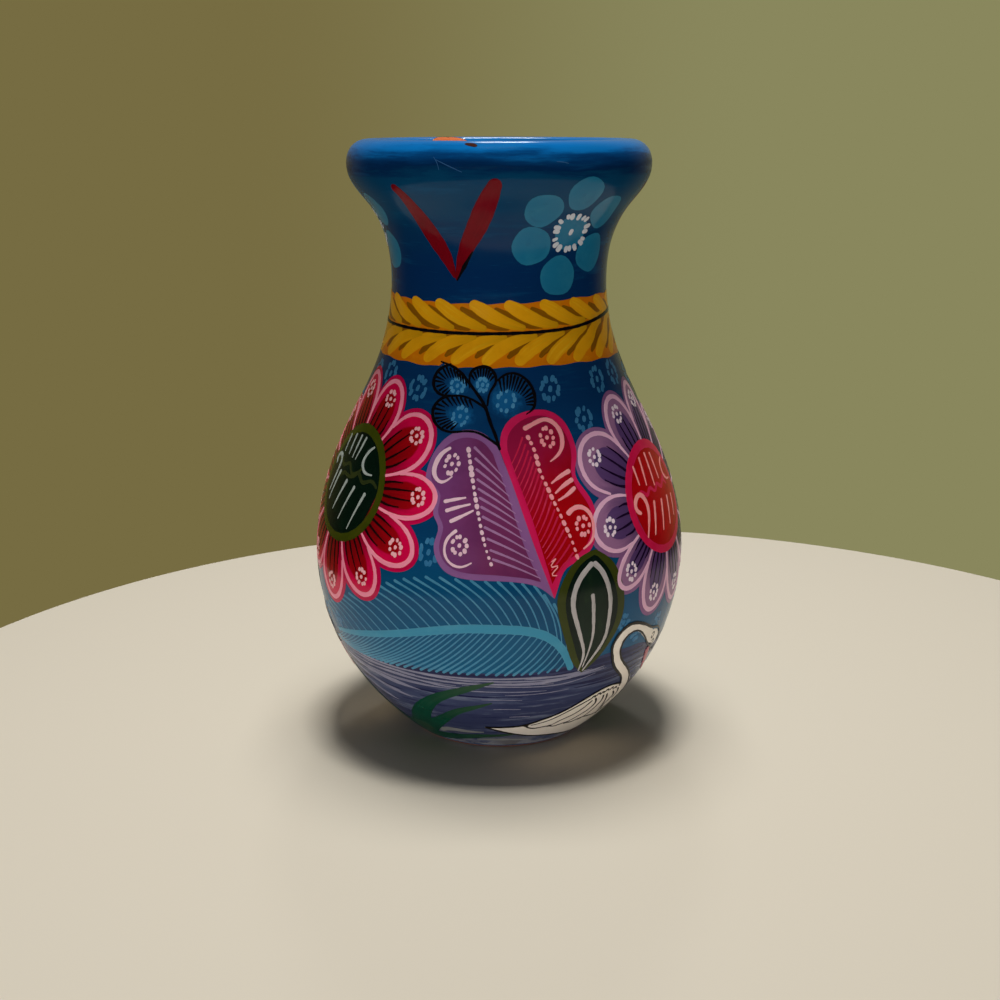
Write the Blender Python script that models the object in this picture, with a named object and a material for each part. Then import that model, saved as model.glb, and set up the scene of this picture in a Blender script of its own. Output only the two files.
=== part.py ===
"""A painted terracotta vase, built the way a potter builds it.

A clay floor, a moulded bowl, a shoulder, a neck and a rolled lip are made apart, scored, and luted
together with slip. A thin coil of soft clay is pressed into the inside corner of each of the three
lower joints. Metres, +Z up, with the origin at the centre of the foot's underside.
"""

import math

import bmesh
import bpy
import numpy as np

# Radii of the outside, from the foot up to the crest of the lip.
FOOT_RADIUS = 0.0233
HEEL_RADIUS = 0.0316
BOWL_RADIUS = 0.0404
BELLY_RADIUS = 0.0473
SHOULDER_RADIUS = 0.0402
SLOPE_RADIUS = 0.0324
NECK_ROOT_RADIUS = 0.0277
WAIST_RADIUS = 0.0267
THROAT_RADIUS = 0.0276
FLARE_RADIUS = 0.0316
LIP_RADIUS = 0.0373
LIP_TOP_RADIUS = 0.0361
CREST_RADIUS = 0.0315

# How far each of those radii stands above the one before it.
HEEL_RISE = 0.0080
BOWL_RISE = 0.0120
BELLY_RISE = 0.0270
SHOULDER_RISE = 0.0290
SLOPE_RISE = 0.0160
NECK_ROOT_RISE = 0.0140
WAIST_RISE = 0.0090
THROAT_RISE = 0.0100
FLARE_RISE = 0.0090
LIP_RISE = 0.0090
LIP_TOP_RISE = 0.0053
CREST_RISE = 0.0017

WALL = 0.0050
FLOOR_THICKNESS = 0.0060
LIP_WIDTH = 0.0098
CREST_TO_MOUTH = 0.0032

SLIP_GAP = 0.0003
SCORED_BEVEL = 0.0015
COIL_HALF_HEIGHT = 0.0030
COIL_STAND = 0.0018
FILLET_WIDTH = 0.0040
FILLET_HOLLOW = 0.3

# How fine the faceted solids are.
SEGMENTS = 60
OUTER_STEP = 0.0042
INNER_STEP = 0.0052
LIP_STEP = 0.0018
COIL_STEP = 0.0020
CROWN_STEPS = 6
MERGE_DISTANCE = 0.000001
SMOOTH_ANGLE = math.radians(30)
HALVINGS = 50

TERRACOTTA = (0.46, 0.17, 0.08)
LAKE_GREY = (0.10, 0.13, 0.21)
SKY_BLUE = (0.01, 0.10, 0.27)
MATT = 0.85
VARNISHED = 0.15


def spline(points, start=None, end=None):
    """A smooth curve through the points, as a function of the distance along its chords.

    It is a cubic spline whose ends are free, or follow the directions start and end.
    """
    points = np.array(points, float)
    spans = np.linalg.norm(np.diff(points, axis=0), axis=1)
    knots = np.concatenate([[0.0], np.cumsum(spans)])
    slopes = np.diff(points, axis=0) / spans[:, None]
    matrix = np.eye(len(points))
    right = np.zeros((len(points), 2))
    for i in range(1, len(points) - 1):
        matrix[i, i - 1 : i + 2] = spans[i - 1], 2 * (spans[i - 1] + spans[i]), spans[i]
        right[i] = 6 * (slopes[i] - slopes[i - 1])
    if start is not None:
        matrix[0, :2] = 2 * spans[0], spans[0]
        right[0] = 6 * (slopes[0] - np.array(start))
    if end is not None:
        matrix[-1, -2:] = spans[-1], 2 * spans[-1]
        right[-1] = 6 * (np.array(end) - slopes[-1])
    bends = np.linalg.solve(matrix, right)

    def at(distance):
        i = min(max(np.searchsorted(knots, distance) - 1, 0), len(spans) - 1)
        h = spans[i]
        u = (distance - knots[i]) / h
        low, high = bends[i], bends[i + 1]
        point = (1 - u) * points[i] + u * points[i + 1]
        point = point + h * h / 6 * (((1 - u) ** 3 - (1 - u)) * low + (u**3 - u) * high)
        along = slopes[i] + h / 6 * ((1 - 3 * (1 - u) ** 2) * low + (3 * u * u - 1) * high)
        return point, along / np.linalg.norm(along)

    return at, knots


def outside_stations():
    """(radius, height) of each station of the outside, by name."""
    rises = {
        "foot": (FOOT_RADIUS, 0.0),
        "heel": (HEEL_RADIUS, HEEL_RISE),
        "bowl": (BOWL_RADIUS, BOWL_RISE),
        "belly": (BELLY_RADIUS, BELLY_RISE),
        "shoulder": (SHOULDER_RADIUS, SHOULDER_RISE),
        "slope": (SLOPE_RADIUS, SLOPE_RISE),
        "neck_root": (NECK_ROOT_RADIUS, NECK_ROOT_RISE),
        "waist": (WAIST_RADIUS, WAIST_RISE),
        "throat": (THROAT_RADIUS, THROAT_RISE),
        "flare": (FLARE_RADIUS, FLARE_RISE),
        "lip": (LIP_RADIUS, LIP_RISE),
        "lip_top": (LIP_TOP_RADIUS, LIP_TOP_RISE),
        "crest": (CREST_RADIUS, CREST_RISE),
    }
    heights = np.cumsum([rise for _, rise in rises.values()])
    return {name: (radius, float(z)) for (name, (radius, _)), z in zip(rises.items(), heights)}


STATIONS = outside_stations()
OUTSIDE, OUTSIDE_KNOTS = spline(list(STATIONS.values()), end=(-1.0, 0.0))
ALONG = dict(zip(STATIONS, OUTSIDE_KNOTS))


def wall_point(distance, depth=0.0):
    """(radius, height) of a point at that distance up the outside, and that deep in the wall."""
    point, along = OUTSIDE(distance)
    return point + depth * np.array([-along[1], along[0]])


def distance_at(height, depth):
    """The distance up the outside at which a point of that depth has that height."""
    low, high = 0.0, ALONG["belly"]
    for _ in range(HALVINGS):
        middle = (low + high) / 2
        if wall_point(middle, depth)[1] < height:
            low = middle
        else:
            high = middle
    return high


def steps_between(start, end, step):
    """Even steps from start to end, each no longer than step."""
    return np.linspace(start, end, math.ceil(abs(end - start) / step) + 1)


def wall_run(start, end, step, depth=0.0):
    """Points of the wall between two distances up it, all equally deep."""
    return [wall_point(distance, depth) for distance in steps_between(start, end, step)]


def finish(name, colour, roughness):
    """A plain material of one colour."""
    material = bpy.data.materials.new(name)
    material.use_nodes = True
    shader = material.node_tree.nodes["Principled BSDF"]
    shader.inputs["Base Color"].default_value = (*colour, 1.0)
    shader.inputs["Roughness"].default_value = roughness
    shader.inputs["Metallic"].default_value = 0.0
    material.diffuse_color = (*colour, 1.0)
    return material


def turned(name, outline, material, closed=True):
    """A solid of revolution. An outline that isn't closed starts and ends on the axis."""
    shape = bmesh.new()
    corners = [shape.verts.new((radius, 0.0, height)) for radius, height in outline]
    pairs = list(zip(corners, corners[1:]))
    if closed:
        pairs.append((corners[-1], corners[0]))
    edges = [shape.edges.new(pair) for pair in pairs]
    bmesh.ops.spin(
        shape,
        geom=corners + edges,
        cent=(0, 0, 0),
        axis=(0, 0, 1),
        angle=2 * math.pi,
        steps=SEGMENTS,
        use_merge=True,
    )
    bmesh.ops.remove_doubles(shape, verts=shape.verts, dist=MERGE_DISTANCE)
    bmesh.ops.recalc_face_normals(shape, faces=shape.faces)
    mesh = bpy.data.meshes.new(name)
    shape.to_mesh(mesh)
    shape.free()
    mesh.shade_smooth()
    mesh.set_sharp_from_angle(angle=SMOOTH_ANGLE)
    mesh.materials.append(material)
    piece = bpy.data.objects.new(name, mesh)
    bpy.context.scene.collection.objects.link(piece)
    return piece


def floor_disc(clay):
    """The slab that the pot stands on. Its edge carries the bowl and follows the outside."""
    top = distance_at(FLOOR_THICKNESS, 0.0)
    outline = [(0.0, 0.0), *wall_run(0.0, top, OUTER_STEP), (0.0, FLOOR_THICKNESS)]
    return turned("floor_disc", outline, clay, closed=False)


def wall_section(name, low, high, paint):
    """A ring of wall between two joints, each bevelled so that the upper ring seats on the lower."""
    bottom, top = low + SLIP_GAP / 2, high - SLIP_GAP / 2
    outside = wall_run(bottom, top, OUTER_STEP)
    inside = wall_run(top + SCORED_BEVEL, bottom + SCORED_BEVEL, INNER_STEP, WALL)
    return turned(name, outside + inside, paint)


def lower_belly(paint):
    """The moulded bowl. It stands flat on the floor and ends in a bevel at the widest part."""
    seat = FLOOR_THICKNESS + SLIP_GAP
    top = ALONG["belly"] - SLIP_GAP / 2
    outside = wall_run(distance_at(seat, 0.0), top, OUTER_STEP)
    inside = wall_run(top + SCORED_BEVEL, distance_at(seat, WALL), INNER_STEP, WALL)
    return turned("lower_belly", outside + inside, paint)


def rim_coil(paint):
    """The rolled lip: out round the bead, over the crest and down inside to the neck's wall."""
    bottom = ALONG["flare"] + SLIP_GAP / 2
    outside = wall_run(bottom, OUTSIDE_KNOTS[-1], LIP_STEP)
    inner_seat = wall_point(bottom + SCORED_BEVEL, WALL)
    upward = OUTSIDE(bottom + SCORED_BEVEL)[1]
    mouth = [
        STATIONS["crest"],
        (CREST_RADIUS - CREST_TO_MOUTH, STATIONS["lip_top"][1]),
        (LIP_RADIUS - LIP_WIDTH, STATIONS["lip"][1]),
        inner_seat,
    ]
    inside, knots = spline(mouth, start=(-1.0, 0.0), end=-upward)
    down = [inside(distance)[0] for distance in steps_between(0.0, knots[-1], LIP_STEP)[1:]]
    return turned("rim_coil", outside + down, paint)


def floor_luting_coil(clay):
    """The fillet of clay in the corner between the floor and the bowl."""
    floor = FLOOR_THICKNESS + SLIP_GAP
    depth = WALL + SLIP_GAP
    corner = distance_at(floor, depth)
    back = wall_run(corner, corner + FILLET_WIDTH, COIL_STEP, depth)
    tip = np.array([back[0][0] - FILLET_WIDTH, floor])
    face = (back[-1] + tip) / 2
    hollow = face + (back[0] - face) * FILLET_HOLLOW
    return turned("floor_luting_coil", [*back, hollow, tip], clay)


def wall_luting_coil(name, joint, clay):
    """A flattened half-round coil pressed over the inside of a joint."""
    middle = joint + SCORED_BEVEL
    depth = WALL + SLIP_GAP
    back = wall_run(middle - COIL_HALF_HEIGHT, middle + COIL_HALF_HEIGHT, COIL_STEP, depth)
    crown = [
        wall_point(
            middle + COIL_HALF_HEIGHT * math.cos(angle),
            depth + COIL_STAND * math.sin(angle),
        )
        for angle in np.linspace(0.0, math.pi, CROWN_STEPS + 1)[1:-1]
    ]
    return turned(name, back + crown, clay)


def build_vase():
    """Every piece, from the foot up."""
    for old in list(bpy.data.objects):
        bpy.data.objects.remove(old)
    clay = finish("fired_terracotta", TERRACOTTA, MATT)
    lake = finish("lake_paint", LAKE_GREY, VARNISHED)
    blue = finish("blue_paint", SKY_BLUE, VARNISHED)
    floor_disc(clay)
    lower_belly(lake)
    wall_section("upper_belly", ALONG["belly"], ALONG["neck_root"], blue)
    wall_section("neck_collar", ALONG["neck_root"], ALONG["flare"], blue)
    rim_coil(blue)
    floor_luting_coil(clay)
    wall_luting_coil("belly_luting_coil", ALONG["belly"], clay)
    wall_luting_coil("neck_luting_coil", ALONG["neck_root"], clay)


build_vase()
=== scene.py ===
"""A painted terracotta vase: the fired clay sections, then each coat of paint in the order it is laid.

Lengths along the wall are in millimetres. A place on the pot is (degrees round from the front, height);
on the wall itself it is (degrees round, rise), the rise being measured up the curved surface.
"""

import math

import bmesh
import bpy
import numpy as np
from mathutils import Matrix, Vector


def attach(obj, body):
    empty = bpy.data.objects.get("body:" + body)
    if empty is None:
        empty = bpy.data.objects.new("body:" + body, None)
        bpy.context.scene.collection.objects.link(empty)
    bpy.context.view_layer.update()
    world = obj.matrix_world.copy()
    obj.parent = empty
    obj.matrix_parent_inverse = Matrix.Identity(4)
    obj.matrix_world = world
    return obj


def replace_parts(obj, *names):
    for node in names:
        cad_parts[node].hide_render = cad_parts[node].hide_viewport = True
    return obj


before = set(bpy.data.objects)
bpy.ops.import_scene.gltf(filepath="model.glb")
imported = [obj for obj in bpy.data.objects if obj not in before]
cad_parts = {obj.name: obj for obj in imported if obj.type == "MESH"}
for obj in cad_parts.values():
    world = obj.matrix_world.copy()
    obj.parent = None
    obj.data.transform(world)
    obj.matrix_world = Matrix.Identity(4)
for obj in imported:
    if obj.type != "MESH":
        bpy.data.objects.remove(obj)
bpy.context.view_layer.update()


# The wall, as the potter turns it: one line up the outside, over the crest and a little way down
# inside. The clay sections and every coat of paint take their places from it.
OUTSIDE = {
    "foot": (23.3, 0.0),
    "heel": (31.6, 8.0),
    "bowl": (40.4, 20.0),
    "belly": (47.3, 47.0),
    "shoulder": (40.2, 76.0),
    "slope": (32.4, 92.0),
    "neck root": (27.7, 106.0),
    "waist": (26.7, 115.0),
    "throat": (27.6, 125.0),
    "flare": (31.6, 134.0),
    "lip": (37.3, 143.0),
    "lip top": (36.1, 148.3),
    "crest": (31.5, 150.0),
}
INSIDE_THE_LIP = [
    (28.4, 148.4), (27.1, 145.3), (28.2, 141.7), (29.0, 140.0), (28.6, 138.3), (27.2, 136.2), (25.7, 134.1),
]
WALL = 5.0
MM = 0.001


def run_of(points):
    """How far along its line each point is."""
    return np.concatenate([[0.0], np.cumsum(np.linalg.norm(np.diff(points, axis=0), axis=1))])


def at(places, run, points):
    """The points at those places along a line, given how far along it each of its own points is."""
    return np.column_stack([np.interp(places, run, points[:, k]) for k in (0, 1)])


def drawn_line(points, spacing):
    """Points spaced evenly along the smooth line through the given ones."""
    points = np.array(points, float)
    spans = np.linalg.norm(np.diff(points, axis=0), axis=1)
    knots = run_of(points)
    slopes = np.diff(points, axis=0) / spans[:, None]
    matrix = np.eye(len(points))
    right = np.zeros_like(points)
    for i in range(1, len(points) - 1):
        matrix[i, i - 1 : i + 2] = spans[i - 1], 2 * (spans[i - 1] + spans[i]), spans[i]
        right[i] = 6 * (slopes[i] - slopes[i - 1])
    bends = np.linalg.solve(matrix, right)
    along = np.linspace(0.0, knots[-1], 16 * len(points) + 1)
    i = np.clip(np.searchsorted(knots, along, side="right") - 1, 0, len(spans) - 1)
    h = spans[i][:, None]
    u = (along[:, None] - knots[i][:, None]) / h
    line = (1 - u) * points[i] + u * points[i + 1]
    line += h * h / 6 * (((1 - u) ** 3 - (1 - u)) * bends[i] + (u**3 - u) * bends[i + 1])
    run = run_of(line)
    return at(np.linspace(0.0, run[-1], max(3, math.ceil(run[-1] / spacing) + 1)), run, line)


skin = drawn_line([*OUTSIDE.values(), *INSIDE_THE_LIP], 0.25)
skin_rise = run_of(skin)
skin_along = np.gradient(skin, axis=0)
skin_along /= np.linalg.norm(skin_along, axis=1)[:, None]
crest_index = int(np.argmax(skin[:, 1]))
CREST_RISE = skin_rise[crest_index]


def rise_to(height):
    """How far up the outside of the wall a height is."""
    return np.interp(height, skin[: crest_index + 1, 1], skin_rise[: crest_index + 1])


def inside_rise(height):
    """How far along the wall a height is on its inner side, below the crest."""
    return float(np.interp(-height, -skin[crest_index:, 1], skin_rise[crest_index:]))


def radius_at(rise):
    return np.interp(rise, skin_rise, skin[:, 0])


def out_of_true(turn, height):
    """How far the potter's hand left the wall out of true."""
    slow = 0.08 * np.sin(2 * turn + height / 19) + 0.05 * np.sin(3 * turn - height / 13 + 1.3)
    return slow + 0.025 * np.sin(5 * turn + height / 8) + 0.02 * np.sin(height / 3.1 + turn)


def on_skin(degrees, rise, lift):
    """Places on the wall, in mm, lifted off it by the thickness of the coats beneath."""
    turn = np.radians(degrees)
    out, up = (np.interp(rise, skin_rise, skin_along[:, k]) for k in (1, 0))
    height = np.interp(rise, skin_rise, skin[:, 1]) - up * lift
    radius = radius_at(rise) + out * lift + out_of_true(turn, height)
    return np.column_stack([radius * np.sin(turn), -radius * np.cos(turn), height])


# The fired clay: a floor, a moulded bowl, a shoulder, a neck and a rolled lip, luted with slip, and
# the coils pressed into the inside of the joints. It is low-fired red earthenware, left bare inside,
# with the spiral ridges that the potter's fingers left.
SLIP_GAP = 0.3
BEVEL = 1.5
FLOOR = 6.0
CLAY_STEPS = 180
RIDGE_PITCH = 3.4
RIDGE_HEIGHT = 0.11
CLAY_SHARP = 50


def operator(operation, swapped=False):
    """The method behind a sign: it adds a Math node."""

    def apply(self, other=0.0):
        pair = (other, self) if swapped else (self, other)
        return self.recipe.node("Math", {"operation": operation}, dict(enumerate(pair)))

    return apply


class Wire:
    """A socket of a recipe. Sums written with it add Math nodes."""

    def __init__(self, recipe, socket):
        self.recipe = recipe
        self.socket = socket

    __add__ = operator("ADD")
    __radd__ = operator("ADD", True)
    __sub__ = operator("SUBTRACT")
    __rsub__ = operator("SUBTRACT", True)
    __mul__ = operator("MULTIPLY")
    __rmul__ = operator("MULTIPLY", True)
    __truediv__ = operator("DIVIDE")
    __rtruediv__ = operator("DIVIDE", True)
    __abs__ = operator("ABSOLUTE")


class Recipe:
    """Nodes mixed in front of one shader. A colour may be given as on a paint chart."""

    def __init__(self, name, world=False):
        self.owner = (bpy.data.worlds if world else bpy.data.materials).new(name)
        self.owner.use_nodes = True
        self.tree = self.owner.node_tree
        self.shader = self.tree.nodes["Background" if world else "Principled BSDF"]

    def node(self, kind, settings=None, sockets=None, output=0):
        node = self.tree.nodes.new("ShaderNode" + kind)
        for setting, value in (settings or {}).items():
            if setting == "stops":
                stops = node.color_ramp.elements
                while len(stops) < len(value):
                    stops.new(1.0)
                for stop, (place, colour) in zip(stops, value):
                    stop.position = place
                    stop.color = mixed(colour)
            else:
                setattr(node, setting, value)
        for socket, value in (sockets or {}).items():
            self.feed(node.inputs[socket], value)
        return Wire(self, node.outputs[output])

    def feed(self, socket, value):
        if isinstance(value, Wire):
            self.tree.links.new(value.socket, socket)
        else:
            socket.default_value = mixed(value) if isinstance(value, str) else value

    def finish(self, **sockets):
        for socket, value in sockets.items():
            self.feed(self.shader.inputs[socket.replace("_", " ")], value)
        return self.owner

    def blend(self, share, low, high):
        """One colour going over into another as the share goes from 0 to 1."""
        settings = {"data_type": "RGBA", "clamp_factor": True}
        return self.node("Mix", settings, {0: share, 6: low, 7: high}, 2)

    def ease(self, value, start, end):
        """0 before start and 1 after end, smoothly."""
        settings = {"interpolation_type": "SMOOTHSTEP"}
        return self.node("MapRange", settings, {"Value": value, "From Min": start, "From Max": end})

    def place(self):
        return self.node("TexCoord", output="Object")

    def part(self, vector, axis):
        return self.node("SeparateXYZ", sockets={0: vector}, output=axis)

    def brush(self, axis):
        """How far along the stroke, or across it."""
        return self.part(self.node("UVMap", {"uv_map": "brush"}), axis)

    def mark(self, name):
        return self.node("Attribute", {"attribute_name": name}, output="Fac")

    def stretched(self, vector, scale):
        return self.node("VectorMath", {"operation": "MULTIPLY"}, {0: vector, 1: scale})

    def mottle(self, vector, scale, detail=3.0, roughness=0.55):
        sockets = {"Vector": vector, "Scale": scale, "Detail": detail, "Roughness": roughness}
        return self.node("TexNoise", sockets=sockets)

    def streaks(self, along, across):
        """Bristle streaks down the stroke, other ones in each mark."""
        load = self.mark("load")
        shift = self.node("CombineXYZ", sockets={0: load * 37.0, 1: load * 53.0, 2: load * 11.0})
        brush = self.stretched(self.node("UVMap", {"uv_map": "brush"}), (along, across, 1.0))
        return self.mottle(self.node("VectorMath", {"operation": "ADD"}, {0: brush, 1: shift}), 1.0, 4.0, 0.6)

    def bumps(self, height, depth):
        return self.node("Bump", sockets={"Height": height, "Distance": depth, "Strength": 1.0})


def mixed(colour):
    """A colour written as on a paint chart, as light."""
    parts = [int(colour[i : i + 2], 16) / 255 for i in (1, 3, 5)]
    linear = [p / 12.92 if p <= 0.04045 else ((p + 0.055) / 1.055) ** 2.4 for p in parts]
    return (*linear, 1.0)


def fired_clay():
    """Red earthenware: fine grit, a cloudy firing colour and dark specks."""
    clay = Recipe("fired_clay")
    place = clay.place()
    cloud = clay.mottle(place, 38.0, 4.0)
    grain = clay.mottle(place, 900.0, 5.0, 0.7)
    speck = clay.node("TexVoronoi", {}, {"Vector": place, "Scale": 420.0})
    base = clay.blend(clay.ease(cloud, 0.35, 0.7), "#a9532c", "#c46a3d")
    base = clay.blend(clay.ease(grain, 0.45, 0.75) * 0.5, base, "#d98a5c")
    base = clay.blend(1.0 - clay.ease(speck, 0.08, 0.16), base, "#5d2a17")
    relief = clay.bumps(grain + cloud, 0.00012)
    return clay.finish(Base_Color=base, Roughness=0.82 + grain * 0.15, Normal=relief)


def turned(name, outline, clay, ridged):
    """A section turned from its outline. The wall is left out of true, and ridged inside."""
    shape = bmesh.new()
    corners = [shape.verts.new((radius, 0.0, height)) for radius, height in outline]
    loop = list(zip(corners, corners[1:]))
    if outline[0][0] > 0:
        loop.append((corners[-1], corners[0]))
    line = [shape.edges.new(pair) for pair in loop]
    spin = {"cent": (0, 0, 0), "axis": (0, 0, 1), "angle": 2 * math.pi, "steps": CLAY_STEPS}
    bmesh.ops.spin(shape, geom=corners + line, use_merge=True, **spin)
    bmesh.ops.remove_doubles(shape, verts=shape.verts, dist=0.001)
    bmesh.ops.recalc_face_normals(shape, faces=shape.faces)
    for vert in shape.verts:
        across = math.hypot(vert.co.x, vert.co.y)
        if across > 1.0:
            turn = math.atan2(vert.co.x, -vert.co.y)
            grown = across + float(out_of_true(turn, vert.co.z))
            ridge = RIDGE_HEIGHT * ridged(across, vert.co.z)
            grown -= ridge * math.sin(vert.co.z / RIDGE_PITCH * 2 * math.pi - turn)
            vert.co.x *= grown / across
            vert.co.y *= grown / across
    return made(name, shape, clay)


def object_of(name, shape, material, sharp):
    """One mesh in one material, smooth but for its sharp edges."""
    mesh = bpy.data.meshes.new(name)
    shape.to_mesh(mesh)
    shape.free()
    mesh.shade_smooth()
    mesh.set_sharp_from_angle(angle=math.radians(sharp))
    mesh.materials.append(material)
    piece = bpy.data.objects.new(name, mesh)
    bpy.context.scene.collection.objects.link(piece)
    return piece


def made(name, shape, material, sharp=CLAY_SHARP):
    """A finished piece, brought to metres and fixed to the vase."""
    bmesh.ops.scale(shape, vec=(MM, MM, MM), verts=shape.verts)
    piece = object_of(name, shape, material, sharp)
    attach(piece, "root")
    return piece


def in_wall(rise, depth):
    """(radius, height) that deep in the wall."""
    lines = (skin, skin_along)
    place, along = (np.array([np.interp(rise, skin_rise, line[:, k]) for k in (0, 1)]) for line in lines)
    return place + depth * np.array([-along[1], along[0]])


def rise_at_depth(height, depth):
    """The rise at which the wall, that deep in, has that height."""
    rises = np.linspace(0.0, rise_to(OUTSIDE["belly"][1]), 2000)
    return float(np.interp(height, in_wall(rises, depth)[1], rises))


def wall_line(start, end, step, depth=0.0):
    count = math.ceil(abs(end - start) / step) + 1
    return [tuple(in_wall(rise, depth)) for rise in np.linspace(start, end, count)]


def section(name, low, high, clay):
    """A ring of wall between two bevelled joints."""
    bottom = low + SLIP_GAP / 2
    top = high - SLIP_GAP / 2
    outline = wall_line(bottom, top, 2.0)
    outline += wall_line(top + BEVEL, bottom + BEVEL, 0.8, WALL)
    return turned(name, outline, clay, inside_wall)


def inside_wall(across, height):
    """1 on the hollow side of the wall, fading out towards the floor and the lip."""
    if across > radius_at(rise_to(height)) - 0.6 * WALL:
        return 0.0
    return float(np.clip((height - FLOOR - 1) / 3, 0, 1) * np.clip((135 - height) / 6, 0, 1))


clay = fired_clay()
joints = {name: rise_to(OUTSIDE[name][1]) for name in ("belly", "neck root", "flare")}

floor_edge = wall_line(0.0, rise_at_depth(FLOOR, 0.0), 1.0)
slab = [(0.0, 0.0), *floor_edge, (0.0, FLOOR)]
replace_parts(turned("clay_floor", slab, clay, inside_wall), "floor_disc")

seat = FLOOR + SLIP_GAP
bowl_top = joints["belly"] - SLIP_GAP / 2
bowl = wall_line(rise_at_depth(seat, 0.0), bowl_top, 2.0)
bowl += wall_line(bowl_top + BEVEL, rise_at_depth(seat, WALL), 0.8, WALL)
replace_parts(turned("clay_bowl", bowl, clay, inside_wall), "lower_belly")

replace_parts(section("clay_shoulder", joints["belly"], joints["neck root"], clay), "upper_belly")
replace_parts(section("clay_neck", joints["neck root"], joints["flare"], clay), "neck_collar")

LIP_ENDS_AT = 138.6
lip_seat = joints["flare"] + SLIP_GAP / 2
lip = wall_line(lip_seat, inside_rise(LIP_ENDS_AT), 0.9)
lip.append(tuple(in_wall(lip_seat + BEVEL, WALL)))
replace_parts(turned("clay_lip", lip, clay, inside_wall), "rim_coil")

COIL_HALF_HEIGHT = 3.0
COIL_STAND = 1.8
FILLET_WIDTH = 4.0
DENTS = 23
DENT_DEPTH = 0.28
FILLET_HOLLOW = 0.3


def pressed_coil(name, outline, clay):
    """A coil of soft clay, dented where each fingertip pressed it home."""
    coil = turned(name, outline, clay, lambda across, height: 0.0)
    low = min(radius for radius, _ in outline) * MM
    for vert in coil.data.vertices:
        across = math.hypot(vert.co.x, vert.co.y)
        depth = max(0.0, 1.0 - (across - low) / (0.7 * COIL_STAND * MM))
        turn = math.atan2(vert.co.x, -vert.co.y)
        press = 0.5 + 0.5 * math.sin(DENTS * turn + 1.5 * math.sin(3 * turn))
        scale = 1.0 + depth * press * DENT_DEPTH * MM / across
        vert.co.x *= scale
        vert.co.y *= scale
    return coil


def joint_coil(name, joint, clay):
    middle = joint + BEVEL
    depth = WALL + SLIP_GAP
    outline = wall_line(middle - COIL_HALF_HEIGHT, middle + COIL_HALF_HEIGHT, 1.0, depth)
    for angle in np.linspace(0.0, math.pi, 13)[1:-1]:
        rise = middle + COIL_HALF_HEIGHT * math.cos(angle)
        outline.append(tuple(in_wall(rise, depth + COIL_STAND * math.sin(angle))))
    return pressed_coil(name, outline, clay)


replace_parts(joint_coil("clay_belly_coil", joints["belly"], clay), "belly_luting_coil")
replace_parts(joint_coil("clay_neck_coil", joints["neck root"], clay), "neck_luting_coil")

corner = rise_at_depth(seat, WALL + SLIP_GAP)
fillet = wall_line(corner, corner + FILLET_WIDTH, 1.0, WALL + SLIP_GAP)
fillet_top = np.array(fillet[-1])
fillet_tip = np.array([fillet[0][0] - FILLET_WIDTH, seat])
for share in np.linspace(0.0, 1.0, 7)[1:]:
    hollow = np.array(fillet[0]) - (fillet_top + fillet_tip) / 2
    bow = FILLET_HOLLOW * 4 * share * (1 - share)
    fillet.append(tuple(fillet_top * (1 - share) + fillet_tip * share + hollow * bow))
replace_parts(pressed_coil("clay_floor_coil", fillet, clay), "floor_luting_coil")


# The luted joint under the lip, smeared over inside with wet slip. It dries to a film, as the paints do
# after it: faces about CELL across, each mark with its own load of the brush, the ground coat's skin
# COAT off the clay.
COAT = 0.06
AROUND = 288
GOLDEN = 0.6180339887
CELL = 1.3
SEAM = 0.004
PAINT_SHARP = 35


class Film:
    """Marks in one paint, laid on the wall and dried to one piece."""

    def __init__(self, name, paint, slot="ornament_paint"):
        self.name = name
        self.paint = paint
        self.slot = slot
        self.shape = bmesh.new()
        self.brush = self.shape.loops.layers.uv.new("brush")
        self.load = self.shape.verts.layers.float.new("load")
        self.shade = self.shape.verts.layers.float.new("shade")
        self.marks = 0

    def lay(self, columns, rows, place, lift, dome=0.0, shade=None):
        """Lays a sheet. place turns its run and its breadth, 0 to 1, into degrees and rises.

        A sheet with a shade is laid from its heart outwards: its breadth counts as a half.
        """
        load = self.marks * GOLDEN % 1
        self.marks += 1
        sheet = bmesh.ops.create_grid(
            self.shape, x_segments=columns, y_segments=rows, size=0.5, calc_uvs=True
        )["verts"]
        faces = {face for vert in sheet for face in vert.link_faces}
        flat = np.array([vert.co[:2] for vert in sheet]) + 0.5
        run, breadth = flat[:, 0], flat[:, 1]
        degrees, rise = place(run, breadth)
        crown = breadth**2 if shade else (2 * breadth - 1) ** 2
        shades = shade(run, breadth) if shade else run
        spots = on_skin(degrees, rise, lift + dome * (1 - crown))
        for vert, spot, share in zip(sheet, spots, shades):
            vert.co = spot
            vert[self.load] = load
            vert[self.shade] = share
        if shade:
            for loop in {loop for face in faces for loop in face.loops}:
                loop[self.brush].uv.y = 0.5 + 0.5 * loop[self.brush].uv.y
        middle = max(faces, key=lambda face: face.calc_area())
        middle.normal_update()
        outward = middle.calc_center_median()
        if middle.normal.dot(Vector((outward.x, outward.y, 0.0))) < 0:
            bmesh.ops.reverse_faces(self.shape, faces=list(faces))
        bmesh.ops.remove_doubles(self.shape, verts=sheet, dist=SEAM)

    def dry(self, thickness):
        """Gives the marks their thickness and makes them one piece."""
        self.shape.normal_update()
        bmesh.ops.solidify(self.shape, geom=self.shape.faces[:], thickness=thickness)
        return made(self.name, self.shape, self.paint, sharp=PAINT_SHARP)


SMEAR_TOP = 140.0
SMEAR_BOTTOM = 135.4
SMEAR_ROWS = 5
SMEAR_THICKNESS = 0.12


def once_round(run):
    """Degrees and radians for a run once round the pot from the back."""
    degrees = -180 + 360 * run
    return degrees, np.radians(degrees)


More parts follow.
